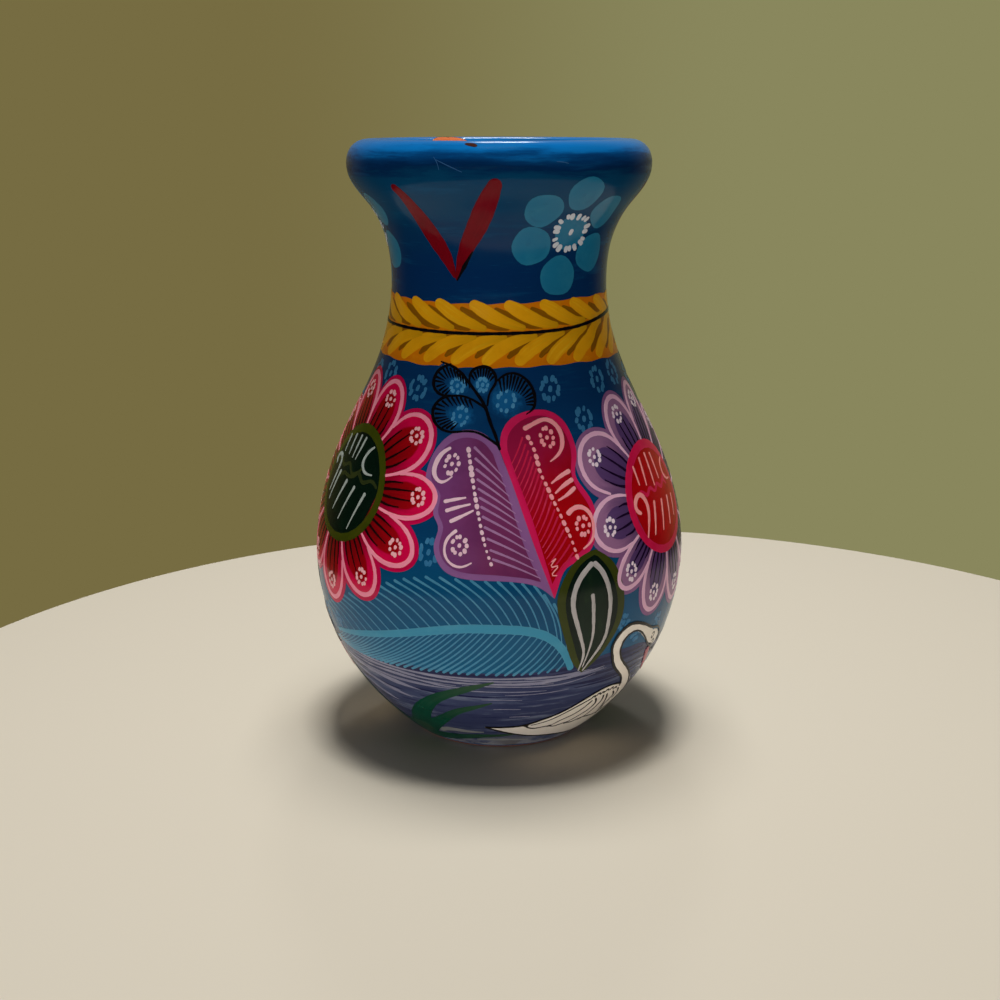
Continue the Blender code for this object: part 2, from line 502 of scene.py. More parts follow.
def smeared(run, breadth):
    degrees, turn = once_round(run)
    top = inside_rise(SMEAR_TOP) + 0.3 * np.sin(5 * turn) + 0.15 * np.sin(13 * turn)
    low = inside_rise(SMEAR_BOTTOM) + 0.35 * np.sin(4 * turn + 1) + 0.15 * np.sin(17 * turn)
    return degrees, top + (low - top) * breadth


smear = Film("slip_smear", clay, "bare_terracotta")
smear.lay(AROUND, SMEAR_ROWS, smeared, SMEAR_THICKNESS / 4)
smear.dry(SMEAR_THICKNESS)


# The ground coat: one deep blue paint, brushed round the pot from the foot up over the lip and a finger's
# breadth down inside, turning to teal towards the lake. Its colour by height also holds painted light:
# painted shade darkening it from the shoulder up and on the front of the lip, a paler band in the flare
# as a painted reflection of the pale board, and a painted highlight on the lip's top. The brush missed
# a place inside the lip, at the back. Clear varnish covers this coat and all above it, more thinly under the
# lip.
GROUND_START = 0.4
INSIDE_REACH = 8.0
MISSED_AT = -153
MISSED_HALF_WIDTH = 13
MISSED_DEPTH = 8.0
FULL_COAT = 0.7
THIN_COAT = 0.45
GROUND_UP = 150
# Stops by share of the pot's height. Up to the belly they are the paint's own teal and blue; from 0.46 up
# they darken as painted shade, 0.868 to 0.945 is a painted reflection of the board in the flare, 0.958 is
# painted shade on the lip's front, and 0.976 to 0.99 is a painted highlight on the lip's top.
GROUND_COLOURS_AND_PAINTED_LIGHT = {
    0.16: "#0e5a80", 0.32: "#0c4c74", 0.46: "#0b4472", 0.62: "#063462", 0.8: "#042c5a", 0.868: "#05345a",
    0.892: "#053f62", 0.945: "#053f62", 0.958: "#032852", 0.976: "#043c6e", 0.99: "#0862a2",
}


def varnished(paint, base, relief, depth=0.00004, roughness=0.4, coat=FULL_COAT):
    """The clear gloss coat over every paint, which has no shine of its own."""
    own = {"Base_Color": base, "Roughness": roughness, "Normal": paint.bumps(relief, depth)}
    gloss = {"Coat_Weight": coat, "Coat_Roughness": 0.15, "Coat_IOR": 1.38, "Specular_IOR_Level": 0.0}
    return paint.finish(**own, **gloss)


def ground_paint():
    paint = Recipe("ground_paint")
    place = paint.place()
    height = paint.part(place, 2)
    strokes = paint.mottle(paint.stretched(place, (1.0, 1.0, 9.0)), 42.0, 5.0, 0.6)
    bristle = paint.mottle(paint.stretched(place, (1.0, 1.0, 16.0)), 170.0, 3.0)
    cloud = paint.mottle(place, 30.0)
    level = (height + (strokes - 0.5) * 0.012) / (OUTSIDE["crest"][1] * MM)
    # The ramp by height: the paint's own teal below, with painted shade, a painted reflection and a painted
    # highlight above.
    base = paint.node("ValToRGB", {"stops": list(GROUND_COLOURS_AND_PAINTED_LIGHT.items())}, {0: level})
    base = paint.blend(paint.ease(strokes, 0.54, 0.74) * 0.3, base, "#125f8a")
    base = paint.blend(paint.ease(cloud, 0.5, 0.75) * 0.5, base, "#042a50")
    base = paint.blend(paint.ease(bristle, 0.62, 0.8) * 0.15, base, "#2a82ac")
    under_lip = paint.ease(level, 0.84, 0.88) * paint.ease(level, 0.972, 0.955)
    coat = FULL_COAT - under_lip * (FULL_COAT - THIN_COAT)
    return varnished(paint, base, strokes + bristle * 0.5, 0.00005, 0.42, coat)


def all_over(run, breadth):
    degrees, turn = once_round(run)
    reach = INSIDE_REACH + 0.7 * np.sin(3 * turn) + 0.5 * np.sin(7 * turn + 1) + 0.3 * np.sin(16 * turn)
    reach -= MISSED_DEPTH * np.exp(-(((degrees - MISSED_AT) / MISSED_HALF_WIDTH) ** 2))
    top = CREST_RISE + reach
    return degrees, GROUND_START + (top - GROUND_START) * breadth


ground = Film("ground_coat", ground_paint(), "blue_paint")
ground.lay(AROUND, GROUND_UP, all_over, COAT)
ground.dry(COAT - 0.01)


# The lake: navy and slate washes brushed level round the foot, darker under the far shore, with long
# level pulls of thinned white over them. At the very foot it is chalky grey: partly scuffed paint,
# partly a painted reflection of the pale board.
# Each mark, here and in all that is painted after it, lies LIFT further out than the one beneath it.
SHORE_AT = [-60, -20, 10, 22, 38, 50]
SHORE_HEIGHT = [28.2, 28.0, 27.8, 28.6, 30.4, 30.0]
LAKE_FOOT = 0.7
LAKE_UP = 34
REPEAT = 120
TURNS = (0, REPEAT, 2 * REPEAT)
LIFT = 0.03
CAP_SHARE = 0.45


def pot(points, turn=0):
    """Places given as (degrees, height), as (degrees, rise), moved that many degrees round."""
    return [(degrees + turn, float(rise_to(height))) for degrees, height in points]


def degree_at(rise):
    """The length of one degree round the pot."""
    return math.radians(1.0) * float(radius_at(rise))


def layer(count):
    """The lift of a mark that lies over that many others on the ground coat."""
    return COAT + count * LIFT


def stroke(film, line, widths, lift, dome=0.02):
    """One pull of the brush along a line of (degrees, rise), with its breadths at even steps."""
    line = np.array(line, float)
    reach = float(radius_at(line[:, 1].mean()))
    degree = math.radians(1.0) * reach
    start = line[0, 0]
    flat = np.column_stack([(line[:, 0] - start) * degree, line[:, 1]])
    breadth = max(widths)
    step = min(1.0, max(0.5, 0.6 * breadth))
    middle = drawn_line(flat, 0.15 if breadth < 1 else 0.3)
    run = run_of(middle)
    length = run[-1]
    first = min(widths[0] / 2, CAP_SHARE * length)
    last = min(widths[-1] / 2, CAP_SHARE * length)
    bends = [0.0, 28.0, 56.0, 90.0] if breadth < 2.0 else [0.0, 18.0, 36.0, 54.0, 72.0, 90.0]
    caps = 1 - np.cos(np.radians(bends))
    body = np.linspace(first, length - last, max(2, math.ceil((length - first - last) / step) + 1))
    places = np.concatenate([first * caps[:-1], body, length - last * caps[-2::-1]])
    centre = at(places, run, middle)
    along = at(places, run, np.gradient(middle, run, axis=0))
    local = radius_at(centre[:, 1])
    along[:, 0] *= local / reach
    along /= np.linalg.norm(along, axis=1)[:, None]
    half = np.interp(places / length, np.linspace(0, 1, len(widths)), widths) / 2
    shake = 0.03 * np.sin(places * 1.9 + film.marks) + 0.02 * np.sin(places * 4.3 + 2 * film.marks)
    half += shake * np.minimum(1.0, half / 0.4)
    near_start = np.clip(places / first, 0, 1)
    near_end = np.clip((length - places) / last, 0, 1)
    half *= np.sqrt(np.clip(1 - (1 - near_start) ** 2, 0, 1) * np.clip(1 - (1 - near_end) ** 2, 0, 1))
    rows = 2 if breadth < 0.8 else 4 if breadth < 3.0 else 2 * math.ceil(breadth / (2 * CELL))

    def place(run, across):
        i = np.rint(run * (len(places) - 1)).astype(int)
        side = (2 * across - 1) * half[i]
        degrees = start + centre[i, 0] / degree - side * np.degrees(along[i, 1] / local[i])
        return degrees, centre[i, 1] + side * along[i, 0]

    film.lay(len(places) - 1, rows, place, lift, dome)


def strokes(film, pulls, lift, dome=0.02, turns=TURNS):
    """The same pulls, as (line of (degrees, height), breadths), at each repeat round the pot."""
    for turn in turns:
        for line, widths in pulls:
            stroke(film, pot(line, turn), widths, lift, dome)


def painted(name, paint, pulls, lift, thickness, dome=0.02, turns=TURNS):
    """A whole piece of pulls in one paint."""
    film = Film(name, paint)
    strokes(film, pulls, lift, dome, turns)
    film.dry(thickness)


def paint_for(name, body, thin, rich, streaks=(3.0, 3.0), thinness=0.5, tail=None, coat=FULL_COAT):
    """Brushed paint: streaks along the stroke, thin where the bristles part, rich where it pools.

    A tail is the colour that it runs out to at the end of the stroke.
    """
    paint = Recipe(name)
    streak = paint.streaks(*streaks)
    pool = paint.mottle(paint.place(), 220.0, 3.0)
    edge = abs(paint.brush(1) * 2.0 - 1.0)
    base = paint.blend(paint.ease(streak, 0.5, 0.75) * thinness, body, thin)
    base = paint.blend(paint.ease(pool, 0.45, 0.75) * 0.4, base, rich)
    base = paint.blend(paint.ease(edge, 0.7, 1.0) * 0.25, base, rich)
    if tail:
        run = paint.mark("shade") + (streak - 0.5) * 0.5
        base = paint.blend(paint.ease(run, 0.35, 0.95), base, tail)
    return varnished(paint, base, streak, coat=coat)


def lake_paint():
    paint = Recipe("lake_paint")
    place = paint.place()
    height = paint.part(place, 2)
    ripple = paint.mottle(paint.stretched(place, (1.0, 1.0, 14.0)), 55.0, 6.0, 0.65)
    wash = paint.mottle(paint.stretched(place, (1.0, 1.0, 5.0)), 22.0, 3.0)
    scuff = paint.mottle(paint.stretched(place, (1.0, 1.0, 2.5)), 130.0, 5.0, 0.7)
    dust = paint.mottle(place, 75.0, 3.0)
    base = paint.blend(paint.ease(wash, 0.4, 0.65), "#33395a", "#4a5272")
    base = paint.blend(paint.ease(ripple, 0.52, 0.68) * 0.7, base, "#757c93")
    base = paint.blend(1.0 - paint.ease(ripple, 0.3, 0.45), base, "#23264a")
    far = paint.ease(height + (ripple - 0.5) * 0.004, 0.0262, 0.0272)
    base = paint.blend(far * 0.85, base, "#252a55")
    # Near the foot: chalky grey that is partly scuffed paint and partly a painted reflection of the pale
    # board, then brown dust.
    foot_wear_and_reflection = 1.0 - paint.ease(height + (scuff - 0.5) * 0.012, 0.001, 0.0075)
    base = paint.blend(foot_wear_and_reflection * paint.ease(scuff, 0.38, 0.6), base, "#9c9a9c")
    base = paint.blend(foot_wear_and_reflection * paint.ease(dust, 0.5, 0.62) * 0.7, base, "#5f564f")
    return varnished(paint, base, ripple, 0.00005, 0.42)


def round_the_foot(run, breadth):
    degrees, turn = once_round(run)
    shore = np.interp(degrees, SHORE_AT, SHORE_HEIGHT, period=REPEAT)
    shore += 0.12 * np.sin(5 * turn) + 0.1 * np.sin(13 * turn + 2)
    low = rise_to(LAKE_FOOT)
    return degrees, low + (rise_to(shore) - low) * breadth


lake = Film("lake_coat", lake_paint(), "lake_paint")
lake.lay(AROUND, LAKE_UP, round_the_foot, COAT + 0.02)
lake.dry(0.04)

DEEPS = [
    ([(-64, 27.5), (-40, 27.2), (-10, 27.1), (12, 27)], [0.3, 1.2, 1.1, 0.3]),
    ([(16, 27.5), (34, 28.4), (54, 28.4)], [0.4, 1.5, 1.3, 0.3]),
    ([(14, 26.4), (34, 26.9), (58, 27)], [0.2, 0.9, 0.8, 0.2]),
    ([(18, 24.8), (36, 24.7), (57, 24.9)], [0.2, 0.9, 1.0, 0.3]),
    ([(22, 22.8), (40, 22.6), (58, 23)], [0.2, 1.2, 1.1, 0.3]),
    ([(26, 21.6), (44, 21.5), (56, 21.6)], [0.2, 0.7, 0.6, 0.2]),
    ([(-34, 21), (-14, 20.6), (8, 20.4)], [0.2, 0.7, 0.6, 0.2]),
]
RIPPLES = [
    ([(-30, 26.4), (-10, 26.2), (10, 26.3), (24, 26), (36, 26)], 0.5),
    ([(-20, 25.6), (0, 25.5), (15, 25.3), (26, 25.4), (37, 25.8)], 0.45),
    ([(-34, 24.9), (-12, 24.7), (8, 24.4), (18, 24)], 0.5),
    ([(-12, 24), (5, 23.8), (20, 23.5), (27, 24.1), (33, 25)], 0.35),
    ([(-58, 26), (-44, 25.6), (-28, 25.3)], 0.5),
    ([(-62, 24.8), (-48, 24.4), (-30, 23.9), (-14, 23.7)], 0.4),
    ([(-60, 26.7), (-44, 26.4), (-24, 26.0), (-6, 25.1)], 0.55),
    ([(-66, 24.2), (-54, 23.0), (-40, 21.6), (-28, 20.6)], 1.5),
    ([(-64, 21.6), (-52, 19.8), (-40, 18.0), (-33, 17.2)], 1.3),
    ([(-62, 18.4), (-52, 16.0), (-43, 14.2)], 1.2),
    ([(-52, 25.1), (-36, 25.3), (-16, 24.6), (4, 25.0)], 0.45),
    ([(-50, 24.1), (-34, 24.4), (-20, 23.3), (-8, 23.1)], 0.5),
    ([(-46, 22.9), (-30, 22.5), (-16, 22.7)], 0.35),
    ([(0, 24.8), (13, 24.6), (26, 25.6), (36, 26.6)], 0.9),
    ([(8, 25.9), (20, 26.2), (31, 26.6)], 0.5),
    ([(-55, 23.4), (-38, 23), (-22, 22.8)], 0.35),
    ([(-14, 22.4), (4, 22.2), (16, 22)], 0.3),
    ([(2, 21.2), (14, 21.2), (24, 21.5)], 0.25),
    ([(-52, 22), (-46, 21.9), (-40, 21.6)], 0.4),
    ([(-6, 19.6), (1, 19.6), (8, 19.4)], 0.25),
    ([(-2, 16.4), (3, 16.4), (8, 16.2)], 0.25),
    ([(-48, 19), (-43, 18.8), (-38, 18.4)], 0.35),
    ([(4, 13.5), (8, 13.5), (12, 13.4)], 0.3),
]
indigo = paint_for("lake_indigo", "#1f2146", "#2e3156", "#17183a", (6.0, 3.0), 0.6)
painted("lake_shadows", indigo, DEEPS, layer(1), 0.05, 0.0)
thinned_white = paint_for("ripple_white", "#8a889e", "#464a66", "#a6a4b4", (6.0, 3.0), 0.85)
ripples = [(line, [0.1, b, 0.8 * b, b, 0.1]) for line, b in RIPPLES]
painted("lake_ripples", thinned_white, ripples, COAT + 0.04, 0.05, 0.0)


# The fern: a pale rib laid over the teal, then fine strokes off it on both sides, each pressed at its
# outer end. Its lower strokes run over the lake's far shore.
RIB = [
    (23, 27.5), (21, 31), (17.5, 35.2), (13.5, 37.8), (8.5, 39.3), (0, 40), (-8.5, 40),
    (-20, 38.6), (-34, 35.9), (-46, 33.6), (-56, 31.8), (-64, 30.6),
]
RIB_WIDTHS = [1.5, 2.3, 2.3, 2.2, 1.9, 1.6, 1.0]
UPPER_FRONDS = [
    ((20.5, 32.5), (15.5, 46)),
    ((17, 37), (9.5, 51)),
    ((12, 38.8), (3, 51.8)),
    ((5, 40), (-7, 52)),
    ((-3, 40.8), (-20, 52.3)),
    ((-12, 40.3), (-30, 50.5)),
    ((-24, 38), (-42, 46.5)),
    ((-36, 35.6), (-53, 42.5)),
    ((-48, 33.2), (-63, 39)),
    ((-58, 31.6), (-70, 36.5)),
]
LOWER_FRONDS = [
    ((21, 31), (18, 27.6)),
    ((17, 35.3), (8.5, 27.2)),
    ((8, 38.8), (-6.5, 27.3)),
    ((-3, 40), (-20.5, 27.2)),
    ((-15, 38.8), (-38, 26.7)),
    ((-28, 36.4), (-50, 26.6)),
    ((-40, 34), (-58, 26.8)),
    ((-52, 31.8), (-66, 27)),
    ((-60, 30.6), (-71, 27.2)),
]
FROND_TOUCH = [0.26, 0.32, 0.36, 0.44, 0.7]
FERN_TURNS = (0, 144, 248)


def hatched(film, starts, ends, count, widths, lift, bow=0.0, turns=TURNS):
    """Strokes from the places of one row to those of another, at each repeat round the pot."""
    for turn in turns:
        rows = [np.array(pot(row, turn)) for row in (starts, ends)]
        scale = (degree_at(rows[0][:, 1].mean()), 1.0)
        gaps = sum(np.linalg.norm(np.diff(row * scale, axis=0), axis=1) for row in rows)
        along = np.concatenate([[0.0], np.cumsum(gaps)])
        for i in range(count):
            share = min(max((i + 0.15 * math.sin(7 * i)) / (count - 1), 0.0), 1.0)
            first, last = (at(share * along[-1], along, row)[0] for row in rows)
            run = last - first
            middle = (first + last) / 2 + bow * np.array([-run[1], run[0]])
            stroke(film, [first, middle, last], widths, lift, 0.01)


fern_hatch = Film("fern_fronds", paint_for("frond_blue", "#4689aa", "#2c7296", "#62a0ba", (1.5, 4.0), 0.55))
for fronds, count, bow in ((UPPER_FRONDS, 27, -0.08), (LOWER_FRONDS, 38, 0.04)):
    hatched(fern_hatch, *zip(*fronds), count, FROND_TOUCH, COAT + 0.034, bow, FERN_TURNS)
fern_hatch.dry(0.06)
fern_blue = paint_for("fern_blue", "#3d8fae", "#2b7c9f", "#5aa0b8", (3.0, 5.0))
painted("fern", fern_blue, [(RIB, RIB_WIDTHS)], COAT + 0.044, 0.08, 0.01, FERN_TURNS)


# The rope round the neck root: a band of bright orange, brown shadows drawn in from its edges, then
# golden strands laid slantwise over them, up to a black line that they meet at like a plait.
ROPE_LINE = 106.3
ROPE_TOP = 113.4
ROPE_BOTTOM = 98.5
rope_ground = Film("rope_ground", paint_for("rope_orange", "#da7a06", "#e6980e", "#c06404", (30.0, 3.0), 0.6))
rope_shadows = Film("rope_shadows", paint_for("rope_brown", "#8c5606", "#a26a0a", "#744204", (2.0, 5.0), 0.6))
strands = Film(
    "rope_strands", paint_for("rope_gold", "#eaa410", "#f4be26", "#d28a08", (1.6, 7.0), 0.8, "#c68e0a")
)
LINE_HEIGHTS = [
    (-180, 0.3), (-150, 0.5), (-118, 0.4), (-84, 0.1), (-50, -0.1), (-20, -0.2),
    (10, 0.0), (42, 0.7), (62, 1.9), (79, 2.7), (92, 2.9),
]
SECOND_HEIGHTS = [(88, 0.7), (110, 0.1), (140, 0.2), (166, 0.1), (184, 0.4)]
ROPE_ROWS = 14
UPPER_STRANDS = (20, 2.7)
UPPER_PULL = (
    [(0, 113.2), (5, 112), (10, 110.6), (15, 109.4), (21, 108.3), (28, 107.3)],
    [2.2, 3.2, 3.3, 2.9, 2.2, 1.1],
)
UPPER_SHADE = ([(-5, 112), (0, 110.7), (5, 109.4), (12, 108.2), (20, 107.3)], [0.8, 2.0, 2.3, 2.0, 0.9])
LOWER_STRANDS = (24, 8.0)
LOWER_PULL = (
    [(0, 99.2), (3, 100.8), (7, 102.4), (12, 103.8), (18, 104.8), (26, 105.5)],
    [2.5, 3.2, 3.3, 3.0, 2.2, 1.1],
)
LOWER_SHADE = ([(-4, 100.6), (0, 102.5), (4.5, 104), (10, 105), (17, 105.6)], [0.8, 2.0, 2.3, 1.9, 0.9])


def rope_band(run, breadth):
    degrees, turn = once_round(run)
    top = ROPE_TOP - 0.1 + 0.4 * np.sin(2 * turn - 0.6) + 0.15 * np.sin(18 * turn + 0.6)
    bottom = ROPE_BOTTOM + 0.2 * np.sin(3 * turn) + 0.15 * np.sin(21 * turn)
    return degrees, rise_to(bottom) + (rise_to(top) - rise_to(bottom)) * breadth


def line_height(degrees):
    """How far the black line strays from its height there."""
    degrees = (degrees + 180) % 360 - 180
    return float(np.interp(degrees, *zip(*LINE_HEIGHTS)))


def twisted(film, strands, pull, lift, stray):
    """Strands laid side by side all round, each ending at the black line."""
    count, first = strands
    line, widths = pull
    for i in range(count):
        start = first + 360 / count * i + stray * math.sin(3 * i)
        placed = []
        for degrees, height in line:
            meets_line = abs(height - ROPE_LINE) < 2
            stray_there = line_height(start + degrees) if meets_line else 0.0
            placed.append((start + degrees, height + stray_there))
        stroke(film, pot(placed), widths, lift + 0.2 * LIFT * (i % 2), 0.02)


rope_ground.lay(AROUND, ROPE_ROWS, rope_band, layer(1))
twisted(rope_shadows, UPPER_STRANDS, UPPER_SHADE, layer(1.8), 1.2)
twisted(rope_shadows, LOWER_STRANDS, LOWER_SHADE, layer(1.8), 1.0)
twisted(strands, UPPER_STRANDS, UPPER_PULL, layer(3.2), 1.2)
twisted(strands, LOWER_STRANDS, LOWER_PULL, layer(3.2), 1.0)
rope_ground.dry(0.05)
rope_shadows.dry(0.05)
strands.dry(0.06)
black = paint_for("line_black", "#0e0c10", "#1e1a1e", "#070609", (3.0, 4.0), 0.3)
rope_line = Film("rope_line", black)
for heights, widths in (
    (LINE_HEIGHTS, [0.7, 0.8, 0.7, 0.8, 0.75, 1.0]),
    (SECOND_HEIGHTS, [0.5, 0.9, 0.7, 0.8, 0.7]),
):
    stroke(rope_line, pot([(a, ROPE_LINE + dz) for a, dz in heights]), widths, layer(5.4))
rope_line.dry(0.07)


# The neck: pairs of red leaves set in a V, and blossoms of turquoise rounds about a dotted ring.
leaf_red = paint_for("leaf_red", "#740514", "#860a1c", "#54040e", (1.5, 6.0), 0.6, coat=THIN_COAT)
NECK_LEAVES = [
    (
        [
            (-42.5, 140.2), (-39.7, 138.4), (-37.6, 135.4), (-35.1, 131.7), (-31.1, 127.6),
            (-26.8, 123.9), (-22.4, 118.9),
        ],
        [1.9, 3.2, 4.1, 4.4, 4.1, 2.8, 0.7],
    ),
    (
        [
            (-0.4, 142), (-2.3, 139.4), (-5.5, 135.4), (-10, 130.7), (-15, 126.5), (-19.2, 122.2),
            (-21.7, 118.4),
        ],
        [2.8, 4.4, 5.0, 4.7, 3.8, 2.4, 0.6],
    ),
]
NECK_TAILS = [([(-12.5, 125.2), (-17, 121.8), (-21.4, 118.2)], [0.3, 1.0, 0.3])]
painted("neck_leaves", leaf_red, NECK_LEAVES, layer(1), 0.06, 0.03)
painted("neck_leaf_tails", black, NECK_TAILS, layer(2.6), 0.05)


def dab(film, place, length, breadth, lean, lift, dome=0.02):
    """A short touch of the brush, leaning that many degrees from level."""
    degrees, rise = place
    half = max(0.06, length / 2)
    x = half * math.cos(math.radians(lean)) / degree_at(rise)
    y = half * math.sin(math.radians(lean))
    stroke(film, [(degrees - x, rise - y), (degrees + x, rise + y)], [breadth, breadth], lift, dome)


def rosette(film, place, radius, dots, dot, lift, lean=None, tall=1.15):
    """A ring of touches round one in the middle, each pointing outwards or held at that lean."""
    degrees, rise = place
    degree = degree_at(rise)
    for i in range(dots):
        angle = 360 / dots * (i + 0.2 * math.sin(3 * i + film.marks))
        reach = radius * (1 + 0.07 * math.sin(5 * i + degrees))
        x = reach * math.cos(math.radians(angle))
        y = tall * reach * math.sin(math.radians(angle))
        size = 1 + 0.15 * math.sin(7 * i + film.marks)
        tilt = angle if lean is None else lean + 18 * math.sin(4 * i + degrees)
        dab(film, (degrees + x / degree, rise + y), dot[0] * size, dot[1] * size, tilt, lift)
    dab(film, place, 0.95 * dot[0], dot[1], 75, lift)


def round_patch(film, place, across, up, lift, dome=0.0):
    """A filled round, as a brush is pressed and turned."""
    degrees, rise = place
    degree = degree_at(rise)
    wobble = film.marks

    def spread(run, breadth):
        angle = 2 * math.pi * run
        reach = breadth * (1 + 0.03 * np.sin(3 * angle + wobble) + 0.02 * np.sin(5 * angle + 2 * wobble))
        return degrees - across * reach * np.cos(angle) / degree, rise + up * reach * np.sin(angle)

    def shade(run, breadth):
        return 0.5 + 0.5 * breadth * np.sin(2 * math.pi * run)

    columns = max(20, math.ceil(2 * math.pi * up / CELL))
    film.lay(columns, max(2, math.ceil(up / CELL)), spread, lift, dome, shade)


blossoms = Film("blossom_rounds", paint_for("blossom_turquoise", "#1a6e90", "#0f5c7e", "#2c7c98", (2.0, 3.0)))
white = paint_for("line_white", "#cfd2d8", "#b4bcc6", "#e2e2e6", (2.0, 4.0), 0.4)
blossom_dots = Film("blossom_dots", white)
BLOSSOM_HEART = (35, 129.4)
BLOSSOM_RADIUS = 4.4
ROUND_RADIUS = 4.7
ROUNDS = [(34.5, 138.2), (51.5, 134), (51, 124.2), (31, 119.2), (15.5, 126.5), (18.5, 134.8)]
for turn in TURNS:
    for place in pot(ROUNDS, turn):
        round_patch(blossoms, place, ROUND_RADIUS, ROUND_RADIUS, layer(1), 0.02)
    heart = pot([BLOSSOM_HEART], turn)[0]
    round_patch(blossoms, heart, BLOSSOM_RADIUS, BLOSSOM_RADIUS, layer(1), 0.02)
    rosette(blossom_dots, heart, BLOSSOM_RADIUS, 18, (1.75, 1.05), layer(2.6), None, 1.0)
blossoms.dry(0.05)
blossom_dots.dry(0.06)


# The shoulder: small rosettes of thinned light blue touches scattered over the open ground, and a few
# larger ones, half rubbed out, low down by the leaf.
light_blue = paint_for("rosette_blue", "#33749f", "#225f8c", "#4f8cb2", (1.0, 2.0), 0.6)
rosettes = Film("shoulder_rosettes", light_blue)
SCATTERED = [(-57.5, 95), (-37, 93), (22.2, 93.5), (34.8, 86.2), (48.5, 94.3), (-20.6, 57.7)]
FAINT = [(40, 37.8), (59, 34), (47, 33.5)]
for turn in TURNS:
    for place in pot(SCATTERED, turn):
        rosette(rosettes, place, 2.2, 10, (1.7, 0.95), layer(1), 82)
    for place in pot(FAINT, turn):
        rosette(rosettes, place, 1.5, 7, (1.5, 1.1), layer(1))
rosettes.dry(0.05)


# The sprig over the buds: four dark leaves sponged light blue in the middle, drawn round and hatched
# in black from their edges, on one stem.
SPRIG_LEAVES = [
    (
        [(-5, 90), (-13, 95.3), (-19, 97.8), (-27, 99), (-30.3, 97)],
        [(-5, 90), (-11, 91.2), (-20, 92), (-26.5, 92.8), (-30.3, 97)],
        (-19, 94.8),
    ),
    (
        [(-5, 91), (-9, 94), (-12.8, 96), (-9.5, 98.3), (-6, 98.7)],
        [(-5, 91), (-4.2, 93), (-2.2, 95.5), (-2.6, 97.6), (-6, 98.7)],
        (-7, 95.5),
    ),
    (
        [(-2.5, 87), (-2.5, 91), (-0.8, 95.3), (5, 97.3), (11, 95.8)],
        [(-2.5, 87), (3, 87.5), (11, 88.6), (14.8, 91.5), (11, 95.8)],
        (5, 91.5),
    ),
    (
        [(-4, 88.5), (-10, 91), (-17, 91.8), (-23, 91.2), (-27, 88.8)],
        [(-4, 88.5), (-8, 85), (-16, 84.7), (-22.5, 85.6), (-27, 88.8)],
        (-15, 88.2),
    ),
]
SPONGED = [(-18, 94.3, 2.3), (-7, 94.7, 1.9), (2.8, 91.2, 3.1), (-15.2, 87.7, 2.7)]
SPRIG_LINES = [
    (
        [
            (0.4, 80.6), (-1.5, 84.1), (-3.4, 86.7), (-5.2, 89.5), (-7.8, 91.8), (-11.6, 94.2),
            (-18.7, 97.8), (-27.7, 99.4),
        ],
        [0.6, 0.75, 0.8, 0.8, 0.7, 0.75, 0.65, 0.3],
    ),
    (
        [
            (-22, 99), (-28.3, 97.2), (-29.6, 94.8), (-27, 92.6), (-22.5, 91.9), (-16.4, 92.1),
            (-11.1, 91.4), (-5.4, 89.6),
        ],
        [0.6, 0.75, 0.85, 0.7, 0.6, 0.5, 0.55, 0.6],
    ),
    (
        [
            (-12.4, 94.6), (-13, 96.2), (-11.6, 97.9), (-8.6, 98.6), (-5, 98.6), (-2.2, 97.4),
            (-1.3, 95.4), (-3.4, 93.4), (-4.6, 90),
        ],
        [0.4, 0.6, 0.75, 0.8, 0.75, 0.65, 0.6, 0.5, 0.55],
    ),
    (
        [
            (-1.2, 95.4), (1.8, 96.7), (5.8, 97.3), (11, 96.2), (14.2, 93.9), (14.9, 91.5), (13.7, 89.4),
            (10.6, 88.2),
        ],
        [0.4, 0.55, 0.6, 0.65, 0.75, 0.75, 0.65, 0.3],
    ),
    (
        [
            (-20.5, 92), (-24.8, 91), (-27, 88.9), (-26, 86.7), (-22.6, 84.9), (-18.4, 84.2),
            (-13.1, 84.5), (-7.8, 84.3), (-3.2, 82.9), (0, 81.6),
        ],
        [0.6, 0.75, 0.85, 0.7, 0.6, 0.55, 0.55, 0.6, 0.65],
    ),
]
RIM_STEP = 1.1
SPRIG_HATCHING = [
    (
        [(-13, 95.4), (-20, 97.9), (-26, 98.6), (-29.3, 96)],
        [(-12.5, 93.8), (-18.4, 95.8), (-22.4, 95.9), (-24.2, 95.2)],
        11,
    ),
    ([(-29.4, 95), (-27, 93), (-23, 92.1)], [(-24.4, 94.8), (-23.5, 94.4), (-20.8, 93.4)], 5),
    (
        [(-12.6, 97), (-8.6, 98.5), (-4.4, 98.4), (-2.2, 96.6)],
        [(-10.4, 95.6), (-8.2, 96.4), (-5.4, 96.3), (-4, 95.4)],
        9,
    ),
    (
        [(0, 96.2), (5.8, 97.2), (11, 96), (14.4, 93), (14.2, 90.2)],
        [(1.2, 93.2), (4.4, 93.6), (7.6, 93), (10.4, 91.8), (11, 90.3)],
        14,
    ),
    (
        [(-26.6, 89), (-25.6, 86.8), (-22, 85), (-18, 84.6)],
        [(-21.4, 88.6), (-20.6, 87.4), (-17.8, 86.6), (-15.4, 86.2)],
        8,
    ),
    (
        [(-26, 90), (-22, 91.6), (-17, 92), (-12, 91.4)],
        [(-22, 89.4), (-18.6, 89.8), (-14.6, 90), (-10, 89.4)],
        8,
    ),
]


